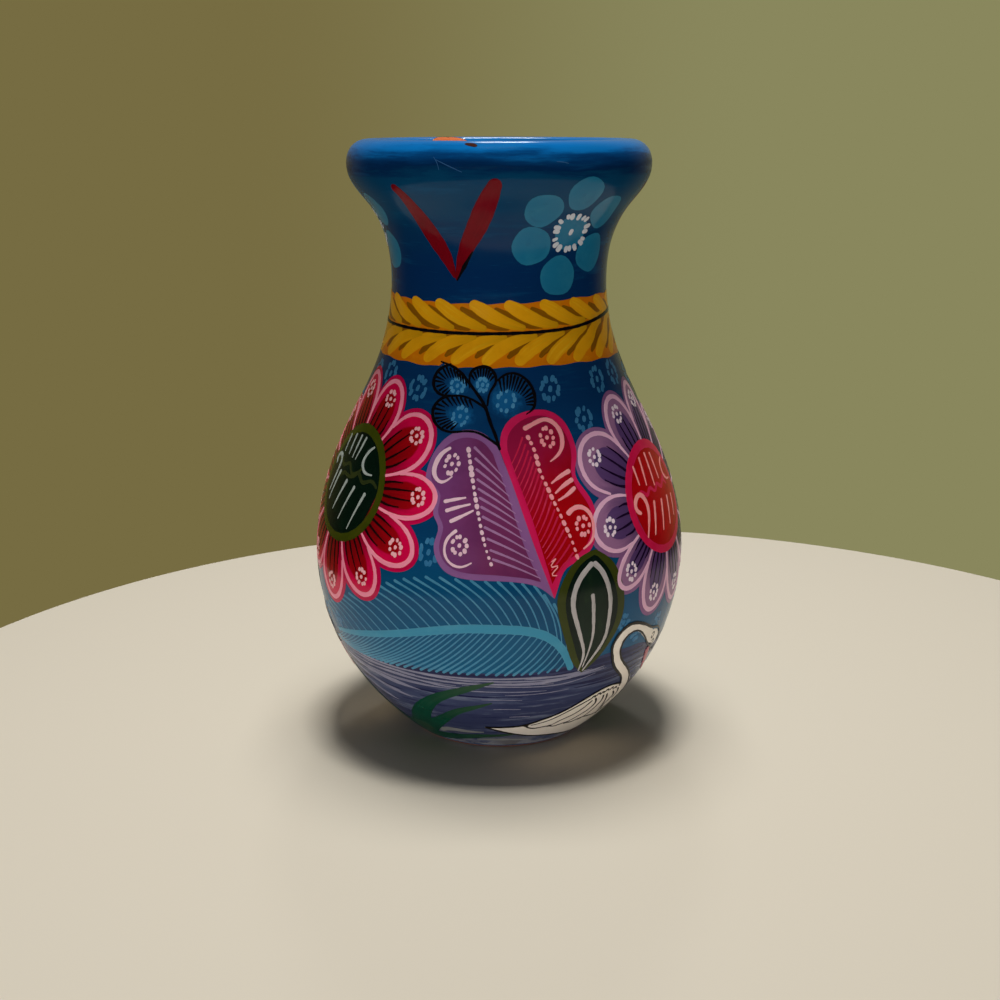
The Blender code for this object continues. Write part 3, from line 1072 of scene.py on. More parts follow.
def filled(film, left, right, heart, lift, slant=90.0):
    """A shape between two lines that share their ends, laid from its heart, shaded at that slant."""
    scale = np.array([degree_at(heart[1]), 1.0])
    sides = [drawn_line(np.array(line) * scale, 0.3) for line in (left, right)]
    loop = np.vstack([sides[0], sides[1][-2::-1]])
    run = run_of(loop)
    columns = math.ceil(run[-1] / RIM_STEP)
    edge = at(np.linspace(0.0, run[-1], columns + 1), run, loop)
    middle = np.array(heart) * scale
    reach = np.linalg.norm(edge - middle, axis=1).max()
    slope = (math.cos(math.radians(slant)), math.sin(math.radians(slant)))
    across = edge @ slope

    def spots(run, breadth):
        i = np.rint(run * columns).astype(int)
        return middle + (edge[i] - middle) * breadth[:, None]

    def place(run, breadth):
        return (spots(run, breadth) / scale).T

    def shade(run, breadth):
        return (spots(run, breadth) @ slope - across.min()) / (across.max() - across.min())

    film.lay(columns, math.ceil(reach / CELL), place, lift, 0.0, shade)


def fills(film, left, right, heart, lift, slant=90.0):
    """The same filled shape, from lines of (degrees, height), at each repeat round the pot."""
    for turn in TURNS:
        filled(film, pot(left, turn), pot(right, turn), pot([heart], turn)[0], lift, slant)


def sponged_paint():
    """Light blue dabbed on with a sponge: full in the middle, broken up towards the edge."""
    paint = Recipe("sprig_sponged")
    pore = paint.mottle(paint.place(), 620.0, 4.0, 0.7)
    out = abs(paint.brush(1) * 2.0 - 1.0) + (pore - 0.5) * 1.3
    base = paint.blend(paint.ease(out, 0.35, 0.95), "#18639a", "#0a3f6e")
    return varnished(paint, base, pore)


sprig_leaves = Film("sprig_leaves", paint_for("sprig_blue", "#0a3f6e", "#0c4878", "#08345e", (2.0, 3.0), 0.6))
sprig_sponge = Film("sprig_sponging", sponged_paint())
sprig_dots = Film("sprig_rosettes", paint_for("sprig_light", "#4a92bf", "#3580b0", "#6aaed2", (1.0, 2.0)))
sprig_lines = Film("sprig_lines", black)
for upper, lower, heart in SPRIG_LEAVES:
    fills(sprig_leaves, upper, lower, heart, layer(1.2))
for turn in TURNS:
    for degrees, height, size in SPONGED:
        place = pot([(degrees, height)], turn)[0]
        round_patch(sprig_sponge, place, 1.5 * size, 1.4 * size, layer(2.2))
        rosette(sprig_dots, place, size * 0.66, 9, (1.15, 0.75), layer(3.2), 80)
strokes(sprig_lines, SPRIG_LINES, layer(4.2))
for starts, ends, count in SPRIG_HATCHING:
    hatched(sprig_lines, starts, ends, count, [0.6, 0.45, 0.2], layer(4.0))
sprig_leaves.dry(0.04)
sprig_sponge.dry(0.04)
sprig_dots.dry(0.06)
sprig_lines.dry(0.07)


# The great flowers: a scalloped halo, eleven petals each blended dark towards the heart, a pale line
# drawn round each, then fine dark lines, dotted rosettes and the comb strokes on the disc.
FLOWERS = {
    "pink": {
        "at": (-58.5, 69.4),
        "notches": [16, 55, 95, 128, 160, 190, 221, 252, 282, 313, 345],
        "tips": [30.0, 28.0, 29.8, 29.3, 29.3, 29.3, 29.3, 30.2, 28.8, 28.6, 29.4],
        "disc": 12.7,
    },
    "purple": {
        "at": (62.0, 65.5),
        "notches": [57, 87, 127, 169, 212, 238, 268, 299, 330, 360, 388],
        "tips": [30.4, 28.2, 29.9, 26.0, 26.8, 28.8, 29.3, 29.3, 29.3, 29.3, 29.3],
        "disc": 12.2,
    },
    "back": {
        "at": (181.5, 68.0),
        "notches": [12, 46, 80, 113, 147, 180, 212, 243, 276, 308, 340],
        "tips": [29.8, 29.0, 29.8, 29.3, 29.3, 29.3, 29.3, 29.8, 28.8, 29.2, 29.4],
        "disc": 12.7,
    },
}
PINK_COMB = [
    ([(-7.8, 11.0), (-7.8, 6.2)], [0.75, 0.6, 0.3]),
    ([(-4.3, 11.7), (-4.4, 6.0)], [0.8, 0.65, 0.3]),
    ([(-1.0, 11.9), (-1.8, 5.6)], [0.75, 0.6, 0.3]),
    ([(1.8, 11.7), (0.1, 5.5)], [0.8, 0.65, 0.3]),
    ([(7.0, 10.0), (5.0, 8.2), (4.2, 5.6), (5.8, 3.6), (9.3, 3.2)], [0.5, 0.9, 0.9, 0.7, 0.4]),
    (
        [(-10.6, 2.4), (-11.6, 4.0), (-9.8, 5.2), (-7.9, 4.2), (-7.9, 0.8), (-9.6, -4.6)],
        [0.9, 1.0, 1.0, 0.8, 0.6, 0.3],
    ),
    ([(-5.4, 1.8), (-8.2, -6.4)], [1.0, 0.6, 0.3]),
    ([(-0.3, 0.4), (-4.3, -8.0)], [1.0, 0.6, 0.3]),
    ([(3.9, -0.4), (-0.4, -9.6)], [0.95, 0.55, 0.3]),
    ([(8.6, -1.2), (4.2, -11.0)], [1.0, 0.55, 0.3]),
]
PURPLE_COMB = [
    ([(-8.4, 9.0), (-7.8, 4.0)], [0.6, 0.6, 0.35]),
    ([(-4.4, 10.6), (-4.8, 3.4)], [0.65, 0.65, 0.4]),
    ([(-0.8, 11.2), (-0.8, 2.6)], [0.65, 0.65, 0.4]),
    ([(2.4, 10.6), (2.8, 3.6)], [0.65, 0.6, 0.4]),
    ([(9.6, 7.8), (7.4, 6.6), (6.8, 4.2), (8.6, 2.4), (11.2, 2.0)], [0.4, 0.65, 0.7, 0.6, 0.3]),
    (
        [(-9.6, -2.6), (-11.2, -1.4), (-10.8, 0.9), (-8.8, 1.9), (-6.9, -0.2), (-7.2, -4.6), (-8.6, -8.8)],
        [0.9, 1.1, 1.2, 1.2, 1.0, 0.7, 0.4],
    ),
    ([(-3.2, -0.6), (-5.4, -8.8)], [0.8, 0.7, 0.4]),
    ([(0.8, -1.0), (-1.2, -8.6)], [0.8, 0.65, 0.4]),
    ([(4.8, -1.0), (3.2, -8.2)], [0.8, 0.65, 0.4]),
    ([(8.4, -1.4), (7.2, -7.0)], [0.7, 0.6, 0.4]),
]
PINK_WAVES = [
    [(-11, 2.4), (-8, 4.6), (-5, 3.2), (-2, 4.2), (1, 2), (3.6, 2.8), (6.4, 1), (9.4, 1.8), (12, 0.4)],
    [(-6.4, -1), (-3, 1.6), (0.4, 1.2), (3, 2.4), (4.8, 4.4)],
]
PURPLE_WAVES = [
    [
        (-9.6, 1.4), (-7.6, 2.4), (-5.6, 1.2), (-3.6, 2.6), (-1.4, 1.4), (0.6, 2.8), (2.8, 1.6),
        (4.8, 2.8), (7, 1.4),
    ],
    [(4.8, 2.8), (7.2, 3.6), (9, 2.4)],
]
RING_BREADTH = 1.5
HALO = 1.0
PETAL_ROOT = 11.2
PETAL_NECK = 0.74
LINE = 1.15
VEINS = {-0.62: 9.0, -0.2: 6.8, 0.22: 6.6, 0.6: 9.4}


def from_spot(degrees, height):
    """Turns (right, up) in mm from a place on the pot into (degrees, rise)."""
    rise = float(rise_to(height))
    degree = degree_at(rise)
    return lambda points: [(degrees + x / degree, rise + y) for x, y in points]


def petal_paint(name, margin, core, deep, soft, breadth, length):
    """Petal paint: a bright margin worked wet into a dark core at the root."""
    paint = Recipe(name)
    streak = paint.streaks(2.0, 11.0)
    cloud = paint.mottle(paint.place(), 190.0, 3.0)
    run = paint.brush(0)
    wide = abs(paint.brush(1) * 2.0 - 1.0) / breadth
    long = run / length
    out = wide * wide * wide + long * long * long + (streak - 0.5) * (0.15 + soft)
    base = paint.blend(paint.ease(out, 1.0 - soft, 1.04), core, margin)
    base = paint.blend((1.0 - paint.ease(run + (streak - 0.5) * 0.4, 0.1, 0.5)) * 0.7, base, deep)
    base = paint.blend(paint.ease(cloud, 0.5, 0.8) * 0.25, base, core)
    return varnished(paint, base, streak)


PALETTES = {
    "pink": {
        "halo": paint_for("halo_magenta", "#c40846", "#a80638", "#d81458", (24.0, 3.0)),
        "petal": petal_paint("petal_pink", "#da0848", "#a00410", "#640208", 0.26, 0.66, 0.6),
        "edge": paint_for("edge_salmon", "#ff94ac", "#ee6c88", "#ffb2c0", (9.0, 3.0)),
        "veins": paint_for("vein_brown", "#200608", "#38090c", "#120304", (2.0, 3.0), 0.3),
        "spots": paint_for("spot_blush", "#fcb8be", "#ea98a2", "#fed6d4", (1.0, 2.0), 0.3),
        "ring": paint_for("ring_olive", "#3c4408", "#52460e", "#2a3406", (16.0, 2.0), 0.6),
        "disc": paint_for("disc_green", "#07180f", "#102a1a", "#030c08", (3.0, 9.0), 0.6),
        "comb": paint_for("comb_cream", "#a8b0a8", "#748078", "#c4c8c0", (2.0, 3.0)),
        "wave": paint_for("wave_olive", "#2c3418", "#202c14", "#3e4414"),
    },
    "purple": {
        "halo": paint_for("halo_lilac", "#8a5a88", "#784c7a", "#9c6c96", (24.0, 3.0)),
        "petal": petal_paint("petal_purple", "#9c6c92", "#5c4070", "#4a305e", 0.07, 0.62, 0.52),
        "edge": paint_for("edge_lilac", "#eeb8d2", "#d89ec0", "#f6ccdc", (9.0, 3.0)),
        "veins": paint_for("vein_violet", "#1c0a28", "#2c1236", "#100516", (2.0, 3.0), 0.3),
        "spots": paint_for("spot_lilac", "#f6e0ea", "#dcc2d4", "#fcf0f4", (1.0, 2.0), 0.3),
        "ring": paint_for("ring_crimson", "#d01448", "#b80e3c", "#dc2c5c", (16.0, 2.0)),
        "disc": paint_for("disc_red", "#b4060e", "#c40e1e", "#940308", (9.0, 3.0), 0.6),
        "comb": paint_for("comb_rose", "#ff9c9a", "#f0747a", "#ffbcb4", (2.0, 3.0)),
        "wave": paint_for("wave_crimson", "#d41c4c", "#c01440", "#de3860"),
    },
}


class Petal:
    """One petal, between two notches, out to its tip: straight arms and a round head."""

    def __init__(self, first, last, tip, root):
        self.root = root
        self.axis = math.radians((first + last) / 2)
        self.half = math.radians((last - first) / 2)
        self.tip = tip
        self.neck = PETAL_NECK * tip * math.cos(self.half)
        self.broad = self.neck * math.tan(self.half)

    def across(self, out, grow):
        """Half the petal's breadth at a distance out along its axis."""
        arms = np.minimum(out, self.neck) * math.tan(self.half) + grow
        over = np.clip((out - self.neck) / (self.tip + grow - self.neck), 0, 1)
        return arms * np.sqrt(1 - over**2)

    def spread(self, out, side):
        """(right, up) of a place given along and across the petal."""
        ahead = (np.cos(self.axis), np.sin(self.axis))
        return out * ahead[0] - side * ahead[1], out * ahead[1] + side * ahead[0]

    def edge(self, inset):
        """The line drawn round it: all of one arm, the head, and the end of the other arm."""
        points = []
        for out in (self.root + 0.6, (self.root + self.neck) / 2):
            points.append((out, -out * math.tan(self.half)))
        for angle in (-80, -50, -20, 10, 40, 70):
            slope = math.radians(angle)
            reach = self.tip - inset - self.neck
            points.append((self.neck + reach * math.cos(slope), (self.broad - inset) * math.sin(slope)))
        points.append((self.neck * 0.86, self.broad * 0.86 - 0.2))
        return [self.spread(out, side) for out, side in points]


def lay_petal(film, spot, petal, root, grow, lift):
    length = petal.tip + grow - root

    def place(run, across):
        out = root + length * np.sin(run * math.pi / 2)
        x, y = petal.spread(out, (2 * across - 1) * petal.across(out, grow))
        return np.array(spot(zip(x, y))).T

    film.lay(math.ceil(length / CELL) + 3, max(8, 2 * math.ceil(petal.broad / CELL)), place, lift)


def flower(name, comb, waves, films):
    """A whole flower, from the halo up to the comb strokes on its disc."""
    layout = FLOWERS[name]
    spot = from_spot(*layout["at"])
    centre = spot([(0, 0)])[0]
    notches = layout["notches"]
    disc = layout["disc"]
    petals = [
        Petal(first, last, tip, disc)
        for first, last, tip in zip(notches, notches[1:] + [notches[0] + 360], layout["tips"])
    ]
    for i, petal in enumerate(petals):
        lay_petal(films["halo"], spot, petal, PETAL_ROOT, HALO, layer(2.1 + 0.3 * (i % 3)))
        lay_petal(films["petal"], spot, petal, PETAL_ROOT, -0.1, layer(3.3 + 0.3 * (i % 3)))
        stroke(films["edge"], spot(petal.edge(LINE / 2)), [0.6, 0.9, LINE, LINE, LINE, 0.95, 0.6], layer(5))
        for share, short in VEINS.items():
            end = petal.tip - short + 0.7 * math.sin(4 * share + 2 * i)
            side = share * math.tan(petal.half)
            bends = {disc + 0.6: 0.9, (disc + end) / 2: 1.0, end: 0.86}
            vein = [petal.spread(out, side * out * bend) for out, bend in bends.items()]
            stroke(films["veins"], spot(vein), [0.8, 0.6, 0.45, 0.25], layer(5), 0.01)
        heart = spot([petal.spread(petal.tip - 5.0, 0.0)])[0]
        rosette(films["spots"], heart, 1.6, 9, (1.1, 0.85), layer(5.4), 75)
    round_patch(films["disc"], centre, disc, disc + 0.4, layer(5.6))
    turns = np.linspace(0.3, 2 * math.pi + 0.45, 15)
    out = disc + RING_BREADTH / 2
    ring = [(out * math.cos(a), (out + 0.25) * math.sin(a)) for a in turns]
    stroke(films["ring"], spot(ring), [1.9, 2.4, 2.2, 1.9, 2.1, 1.8], layer(6.2))
    for wave in waves:
        stroke(films["wave"], spot(wave), [0.7, 1.0, 0.8, 1.0, 0.7], layer(6.4), 0.01)
    for line, widths in comb:
        stroke(films["comb"], spot(line), widths, layer(7.4), 0.03)


HEADS = {
    "pink": (("pink", "back"), PINK_COMB, PINK_WAVES),
    "purple": (("purple",), PURPLE_COMB, PURPLE_WAVES),
}
for colours, (heads, comb, waves) in HEADS.items():
    films = {part: Film(f"{colours}_flower_{part}", paint) for part, paint in PALETTES[colours].items()}
    for head in heads:
        flower(head, comb, waves, films)
    for part, film in films.items():
        film.dry(0.06 if part == "halo" else 0.08)


# The buds: two half-open petals leaning together, one purple and one red, each with a border, a
# dashed rib, hatching on its inner side and curls and rosettes in its lobes.
def fill_paint(name, low, high, deep):
    """A broad fill, worked from one colour to another across the shape."""
    paint = Recipe(name)
    across = paint.mark("shade")
    streak = paint.mottle(paint.stretched(paint.place(), (1.0, 1.0, 0.35)), 160.0, 4.0, 0.6)
    cloud = paint.mottle(paint.place(), 110.0, 3.0)
    share = paint.ease(across + (streak - 0.5) * 0.35, 0.1, 0.7)
    base = paint.blend(share, low, high)
    base = paint.blend(paint.ease(cloud, 0.45, 0.75) * 0.5, base, deep)
    return varnished(paint, base, streak)


BUDS = {
    "purple": {
        "slant": 0,
        "heart": (-8, 67),
        "border": [
            [
                (0, 80.8), (-4, 83.6), (-11, 84.9), (-18, 83.6), (-22.5, 80.3), (-24.4, 76), (-23.2, 72),
                (-20, 69.8), (-20.2, 66.5), (-18.2, 63.8), (-19, 60), (-18.3, 56.6), (-15, 53.4),
                (-10, 52.2), (-2, 51.9), (6, 51.4), (11, 50.2), (15.8, 47),
            ],
            [(0, 80.8), (4, 74), (8, 65), (12, 55.5), (15.8, 47)],
        ],
        "fill": [
            [
                (-2, 79.8), (-5, 82), (-11, 83.2), (-17, 82.1), (-20.9, 79.3), (-22.7, 76), (-21.6, 73),
                (-18.5, 70.7), (-18.6, 66.8), (-16.7, 64.1), (-17.4, 60), (-16.6, 56.9), (-14, 54.7),
                (-9.5, 53.6), (-2, 53.3), (5, 52.7), (9, 52.1), (12, 51.2),
            ],
            [(-2, 79.8), (1.4, 73.6), (5.2, 65), (8.6, 57), (12, 51.2)],
        ],
        "hatching": (
            [(-8.8, 81.3), (-6.6, 72), (-4.4, 64), (-2, 57)],
            [(1.2, 75), (5.2, 66.6), (8.8, 58.4), (11.8, 52.2)],
            12,
        ),
        "touch": [0.6, 0.42, 0.22],
        "rib": [(-10.6, 80.6), (-9.2, 76.5), (-7.6, 71.5), (-6.2, 67), (-5, 63), (-3.6, 59), (-2.2, 55.8)],
        "dashes": (19, 105, (1.45, 1.05), (0.85, 0.65)),
        "curls": [
            (
                [(-16.9, 80.9), (-19.6, 79.7), (-21.6, 77.2), (-21.4, 74.8), (-19, 73.4), (-15.2, 74.8)],
                [0.6, 1.1, 1.2, 1.0, 0.7, 0.3],
            ),
            (
                [(-12.3, 63.2), (-14.8, 61.4), (-15.8, 58.6), (-14.4, 56), (-11.2, 54.9), (-7.7, 56)],
                [0.8, 0.7, 0.6, 0.6, 0.6, 0.3],
            ),
            ([(-17.2, 69.2), (-14, 69.8), (-10.1, 70.4)], [0.9, 0.75, 0.4]),
            ([(-16.4, 67.2), (-12.6, 68.2), (-8.6, 69)], [0.95, 0.75, 0.4]),
            ([(-14.8, 64.9), (-11.4, 66.2), (-7.6, 67.7)], [1.0, 0.75, 0.4]),
        ],
        "rosettes": [(-15.9, 77.4), (-11.4, 59.8)],
    },
    "red": {
        "slant": -50,
        "heart": (15, 70),
        "border": [
            [
                (0.4, 80.5), (0.8, 84), (3.5, 86.8), (8.5, 88.5), (14, 89.1), (20, 88.7), (25, 86.6),
                (27.6, 82.6),
                (27.6, 78.4), (25.8, 74.5), (28.2, 71), (30.6, 67), (30.4, 62.6), (28.4, 58.4), (24, 55.6),
                (19.5, 54), (17.4, 51), (15.8, 47),
            ],
            [(0.4, 80.5), (4, 74), (8, 65), (12, 55.5), (15.8, 47)],
        ],
        "fill": [
            [
                (3, 80.6), (3.2, 83.4), (5.6, 85.6), (9.5, 87.1), (14, 87.8), (19, 87.4), (23.2, 85.4),
                (25.6, 82),
                (25.6, 78.6), (24.4, 74.6), (26.4, 70.6), (29, 66.8), (28.8, 63), (26.8, 59.4), (23, 57),
                (19.2, 55.6), (16.8, 53.2), (15.2, 50.6),
            ],
            [(3, 80.6), (6, 74.4), (9.8, 66), (12.6, 58), (15.2, 50.6)],
        ],
        "hatching": (
            [(8.6, 83.4), (12.4, 77), (16, 70), (20.4, 61), (22, 57.5)],
            [(4.2, 77.6), (7.8, 70.4), (11.2, 62.6), (14.2, 55), (15.8, 52.4)],
            18,
        ),
        "touch": [0.45, 0.38, 0.22],
        "rib": [
            (10.6, 83.2), (12.6, 79.9), (13.6, 75.8), (15.2, 72.9), (16.7, 70), (18.2, 67.3), (20, 63.7),
            (21.5, 60.6), (23, 56.4),
        ],
        "dashes": (19, 112, (1.35, 0.95), (1.2, 0.7)),
        "curls": [
            (
                [(9, 85), (13.8, 86.3), (18, 86.9), (22, 85.4), (23.3, 82.3), (21.7, 79.8), (17.5, 77.8)],
                [1.1, 1.0, 1.0, 1.1, 1.1, 0.8, 0.3],
            ),
            (
                [(21, 66), (22.8, 67.1), (26.3, 67.3), (28.7, 65.6), (29.3, 62.4), (28.2, 59.7), (25.1, 58)],
                [1.3, 1.1, 1.0, 0.8, 0.7, 0.6, 0.4],
            ),
            ([(24.2, 75.6), (20.6, 74.6), (16.9, 73.1)], [1.2, 0.9, 0.4]),
            ([(24.7, 73.7), (21.4, 72.6), (17.8, 70.9)], [1.2, 0.9, 0.4]),
            ([(25, 71.9), (21.8, 70.4), (18.5, 69.3)], [1.1, 0.8, 0.4]),
            (
                [(15, 55.8), (16.5, 56.6), (14.9, 54.7), (17, 54.8), (15.1, 52.8), (16.6, 52.6)],
                [0.25, 0.3, 0.25],
            ),
        ],
        "rosettes": [(17.6, 83), (25.8, 63.2)],
    },
}
BUD_PAINTS = {
    "purple": {
        "border": paint_for("bud_border_lilac", "#8a5890", "#784a80", "#9a6a9c", (12.0, 5.0)),
        "fill": fill_paint("bud_fill_purple", "#783e74", "#742f5c", "#5a2450"),
        "hatch": paint_for("bud_hatch_lilac", "#a878a4", "#905e92", "#b88cb2", (1.5, 3.0), 0.4),
        "marks": paint_for("bud_marks_blush", "#f0c8d4", "#dab0c2", "#f8dee4", (2.0, 3.0), 0.4),
    },
    "red": {
        "border": paint_for("bud_border_magenta", "#d41452", "#bc0c46", "#de3068", (12.0, 5.0)),
        "fill": fill_paint("bud_fill_red", "#981640", "#ac0610", "#8c0308"),
        "hatch": paint_for("bud_hatch_pink", "#cc2048", "#b4123c", "#d84868", (1.5, 3.0), 0.4),
        "marks": paint_for("bud_marks_salmon", "#ff9ea4", "#ee7c88", "#ffc0c0", (2.0, 3.0), 0.4),
    },
}
for step, (colour, bud) in enumerate(BUDS.items()):
    films = {part: Film(f"{colour}_bud_{part}", paint) for part, paint in BUD_PAINTS[colour].items()}
    base = layer(3.4 + 0.5 * step)
    fills(films["border"], *bud["border"], bud["heart"], base, bud["slant"])
    fills(films["fill"], *bud["fill"], bud["heart"], base + LIFT, bud["slant"])
    hatched(films["hatch"], *bud["hatching"], bud["touch"], base + 1.8 * LIFT, 0.02)
    strokes(films["marks"], bud["curls"], base + 2.2 * LIFT, 0.025)
    count, lean, first, last = bud["dashes"]
    for turn in TURNS:
        rib = drawn_line(pot(bud["rib"], turn), 0.2)
        for i in range(count):
            share = i / (count - 1)
            size = (np.array(first) * (1 - share) + np.array(last) * share) * (1 + 0.2 * math.sin(5 * i))
            dab(films["marks"], rib[int(share * (len(rib) - 1))], *size, lean, base + 2.2 * LIFT)
        for place in pot(bud["rosettes"], turn):
            rosette(films["marks"], place, 1.6, 9, (1.15, 0.85), base + 2.2 * LIFT, 80, 1.35)
    for film in films.values():
        film.dry(0.08)


# The green leaf under the buds: an olive blade with a near-black inside, ringed and veined in chalky
# white over the black.
LEAF_HEART = (28, 43)
LEAF_EDGE = [
    [(27, 26.2), (23.5, 29), (20.5, 34), (17.6, 41), (16.6, 46.5), (18.8, 51.8), (23.5, 56), (29, 57.6)],
    [(27, 26.2), (31.5, 29.2), (35, 33), (38, 37.5), (39.2, 43), (38, 49), (34.5, 54.4), (29, 57.6)],
]
LEAF_BLADE = [
    [(27, 27.4), (25, 30), (22.4, 35), (20, 41), (19.2, 46.5), (21, 51.2), (24.6, 54.8), (29, 56.4)],
    [(27, 27.4), (30.6, 30.2), (33.4, 33.6), (35.8, 38), (36.6, 43), (35.4, 48.4), (32.8, 53), (29, 56.4)],
]
LEAF_INSIDE = [
    [(27, 29.4), (25.6, 33), (23.6, 37.6), (22.8, 43), (23.6, 48), (25.4, 51.6), (27.8, 53.8)],
    [(27, 29.4), (30.4, 32.2), (31.9, 36.6), (32.3, 42.4), (31.8, 47.4), (30, 51.6), (27.8, 53.8)],
]
LEAF_TIP = (28, 54.6)
LEAF_STROKES = [
    (
        [
            (25.5, 27), (26.2, 32.1), (24.9, 35.5), (22.7, 40.6), (21.4, 45), (22, 48.6), (24, 51.6),
            (26.3, 53.5), LEAF_TIP,
        ],
        [0.3, 0.6, 0.8, 0.95, 1.1, 1.2, 1.25, 1.3, 1.3],
    ),
    (
        [
            (27, 26.8), (30.6, 31.4), (33, 35.1), (33.6, 39.5), (33.8, 44.1), (33.3, 47.2), (31.9, 50.6),
            (30.1, 53), LEAF_TIP,
        ],
        [0.3, 0.6, 0.8, 0.9, 1.0, 1.1, 1.15, 1.25, 1.3],
    ),
    (
        [(26.7, 27.8), (27.9, 32.4), (28.5, 36.4), (28.1, 41.7), (27.8, 45.5), (27.5, 47.2)],
        [0.25, 0.4, 0.6, 0.8, 0.95, 0.95],
    ),
]
leaf_layers = {
    "leaf_edge": (LEAF_EDGE, paint_for("leaf_olive", "#343c10", "#263210", "#444818", (3.0, 5.0), 0.6)),
    "leaf_blade": (LEAF_BLADE, paint_for("leaf_black", "#0c1c14", "#14301e", "#060f0b", (2.0, 5.0), 0.7)),
    "leaf_inside": (LEAF_INSIDE, paint_for("leaf_green", "#12241a", "#20341e", "#0a1812", (5.0, 2.0), 0.8)),
}
for step, (name, (sides, paint)) in enumerate(leaf_layers.items()):
    film = Film(name, paint)
    fills(film, *sides, LEAF_HEART, layer(5 + step))
    film.dry(0.08)
leaf_white = paint_for("leaf_white", "#bcb4b2", "#868a7e", "#ccc6c4", (5.0, 2.0), 0.7)
painted("leaf_lines", leaf_white, LEAF_STROKES, layer(8), 0.08, 0.025)


# Reeds on the near bank: sweeping pulls of bottle green, running out thin and brown at their tips,
# over a wash of pale mud.
REEDS = [
    (
        [
            (-46, 3.6), (-38.5, 7.6), (-33.5, 11.8), (-28, 15.7), (-22.3, 18.8), (-15.6, 21.3),
            (-9.8, 23.1), (-1.6, 25.3),
        ],
        [5.4, 6.0, 5.6, 4.6, 3.4, 2.6, 1.9, 0.4],
    ),
    (
        [(-43, 3.4), (-33, 7.2), (-23, 11.4), (-15.6, 14.9), (-9.8, 16.6), (-2.4, 18.6)],
        [5.4, 5.2, 3.6, 2.6, 1.9, 0.4],
    ),
    (
        [(-48, 2.3), (-37, 2.5), (-28, 3.1), (-18, 4.1), (-9.5, 5.1), (0.5, 5.7), (9, 6.4)],
        [4.6, 4.6, 3.8, 3.0, 2.4, 1.6, 0.5],
    ),
    (
        [(-50, 2.8), (-55, 5.2), (-59.4, 8.2), (-62.4, 11.6), (-65, 16), (-68, 21)],
        [5.4, 5.0, 4.4, 3.6, 2.6, 0.6],
    ),
    ([(-56, 2.6), (-48, 4.2), (-41, 5.4), (-35, 5.6)], [4.8, 6.4, 6.4, 4.2]),
]
MUD = [
    ([(-31, 5.2), (-23.7, 6.8), (-16.3, 6.8), (-7, 7)], [1.6, 2.0, 1.4, 0.4]),
    ([(-12, 3.2), (2, 3.6), (16, 3)], [0.4, 1.4, 0.4]),
]
BANK_TURNS = (0, 120, 222)
mud_grey = paint_for("mud_grey", "#8c8c8a", "#6a6e72", "#a09c94", (3.0, 3.0), 0.8)
painted("mud_wash", mud_grey, MUD, layer(1.6), 0.03, 0.0, BANK_TURNS)
reeds = Film("reeds", paint_for("reed_green", "#034432", "#065240", "#022a20", (2.5, 7.0), 0.7, "#314c36"))
for i, reed in enumerate(REEDS):
    strokes(reeds, [reed], layer(2.4 + 0.5 * i), 0.02, BANK_TURNS)
reeds.dry(0.05)


# The swan: a cream body and looped neck, outlined in umber, with a few long feathers drawn down the
# wing from a row of small dark tips, and a rose beak.
BACK = [
    (-6, 9.5), (-1, 9.5), (4, 9.6), (11, 10.1), (17, 11.5), (24, 13.2), (29, 15), (33, 16.6), (38.5, 18.4),
    (42.5, 19), (47, 18.7), (51, 17.8), (55, 16.4), (58.5, 14.4), (61.5, 10.5),
]
BREAST = [
    (-6, 9.5), (0, 8), (7, 6.5), (15, 5.2), (23.5, 4.4), (34, 3.4), (44.5, 2.8), (52, 3.2), (57, 4.6),
    (60.4, 7.2), (61.5, 10.5),
]
NECK = [
    (58, 13), (55, 17), (52, 19.5), (48, 22), (43.5, 25.3), (40.3, 28.5), (39.2, 31), (39.8, 33.5), (42, 35),
    (45, 35.5), (49, 34.7), (53.5, 32.2), (57.5, 30), (60, 28.5),
]
NECK_WIDTHS = [5.0, 4.0, 3.2, 2.7, 2.5, 2.4, 2.4, 2.5, 2.5, 2.4, 2.6, 3.0, 3.4, 2.4]
HEAD = ([(56.5, 31), (60, 29.6), (63.5, 27.5)], [2.6, 4.0, 3.2])
OUTLINES = [
    (BACK[:-3], [0.7, 0.6, 0.7, 0.6, 0.5, 0.6, 0.5, 0.5]),
    (BREAST + [(60.8, 13), (58.6, 15.6)], [0.7, 0.7, 0.6, 0.7, 0.6, 0.5, 0.5, 0.5]),
    (
        [
            (51, 17), (49, 19.5), (44, 23), (39.5, 26.5), (38, 29), (37, 32), (38, 34), (40.5, 36),
            (43.5, 36.7),
            (48, 36), (53, 34.2), (56, 33), (61, 32), (65, 29.5), (68, 26),
        ],
        [0.5, 0.6, 0.7, 0.7, 0.8, 0.9, 0.8, 0.7, 0.6, 0.6, 0.4],
    ),
    (
        [
            (59.5, 15), (56, 18), (52.5, 20.7), (47.5, 24), (42.5, 27.6), (41, 30), (41.5, 32.5), (43.5, 34),
            (47, 34.2), (50.5, 32.7), (54, 30.2), (56.5, 28.4), (60, 26.6), (64, 24.6), (67.6, 25.4),
        ],
        [0.5, 0.6, 0.6, 0.6, 0.5, 0.5, 0.5, 0.4],
    ),
]
EYES = [
    ([(57.7, 30.6), (58.9, 31), (59.6, 30), (58.6, 29.3), (57.7, 30.2)], [0.4, 0.45, 0.4]),
    ([(59.6, 28.2), (60.8, 28.6), (61.4, 27.6), (60.4, 26.9), (59.6, 27.8)], [0.4, 0.45, 0.4]),
]
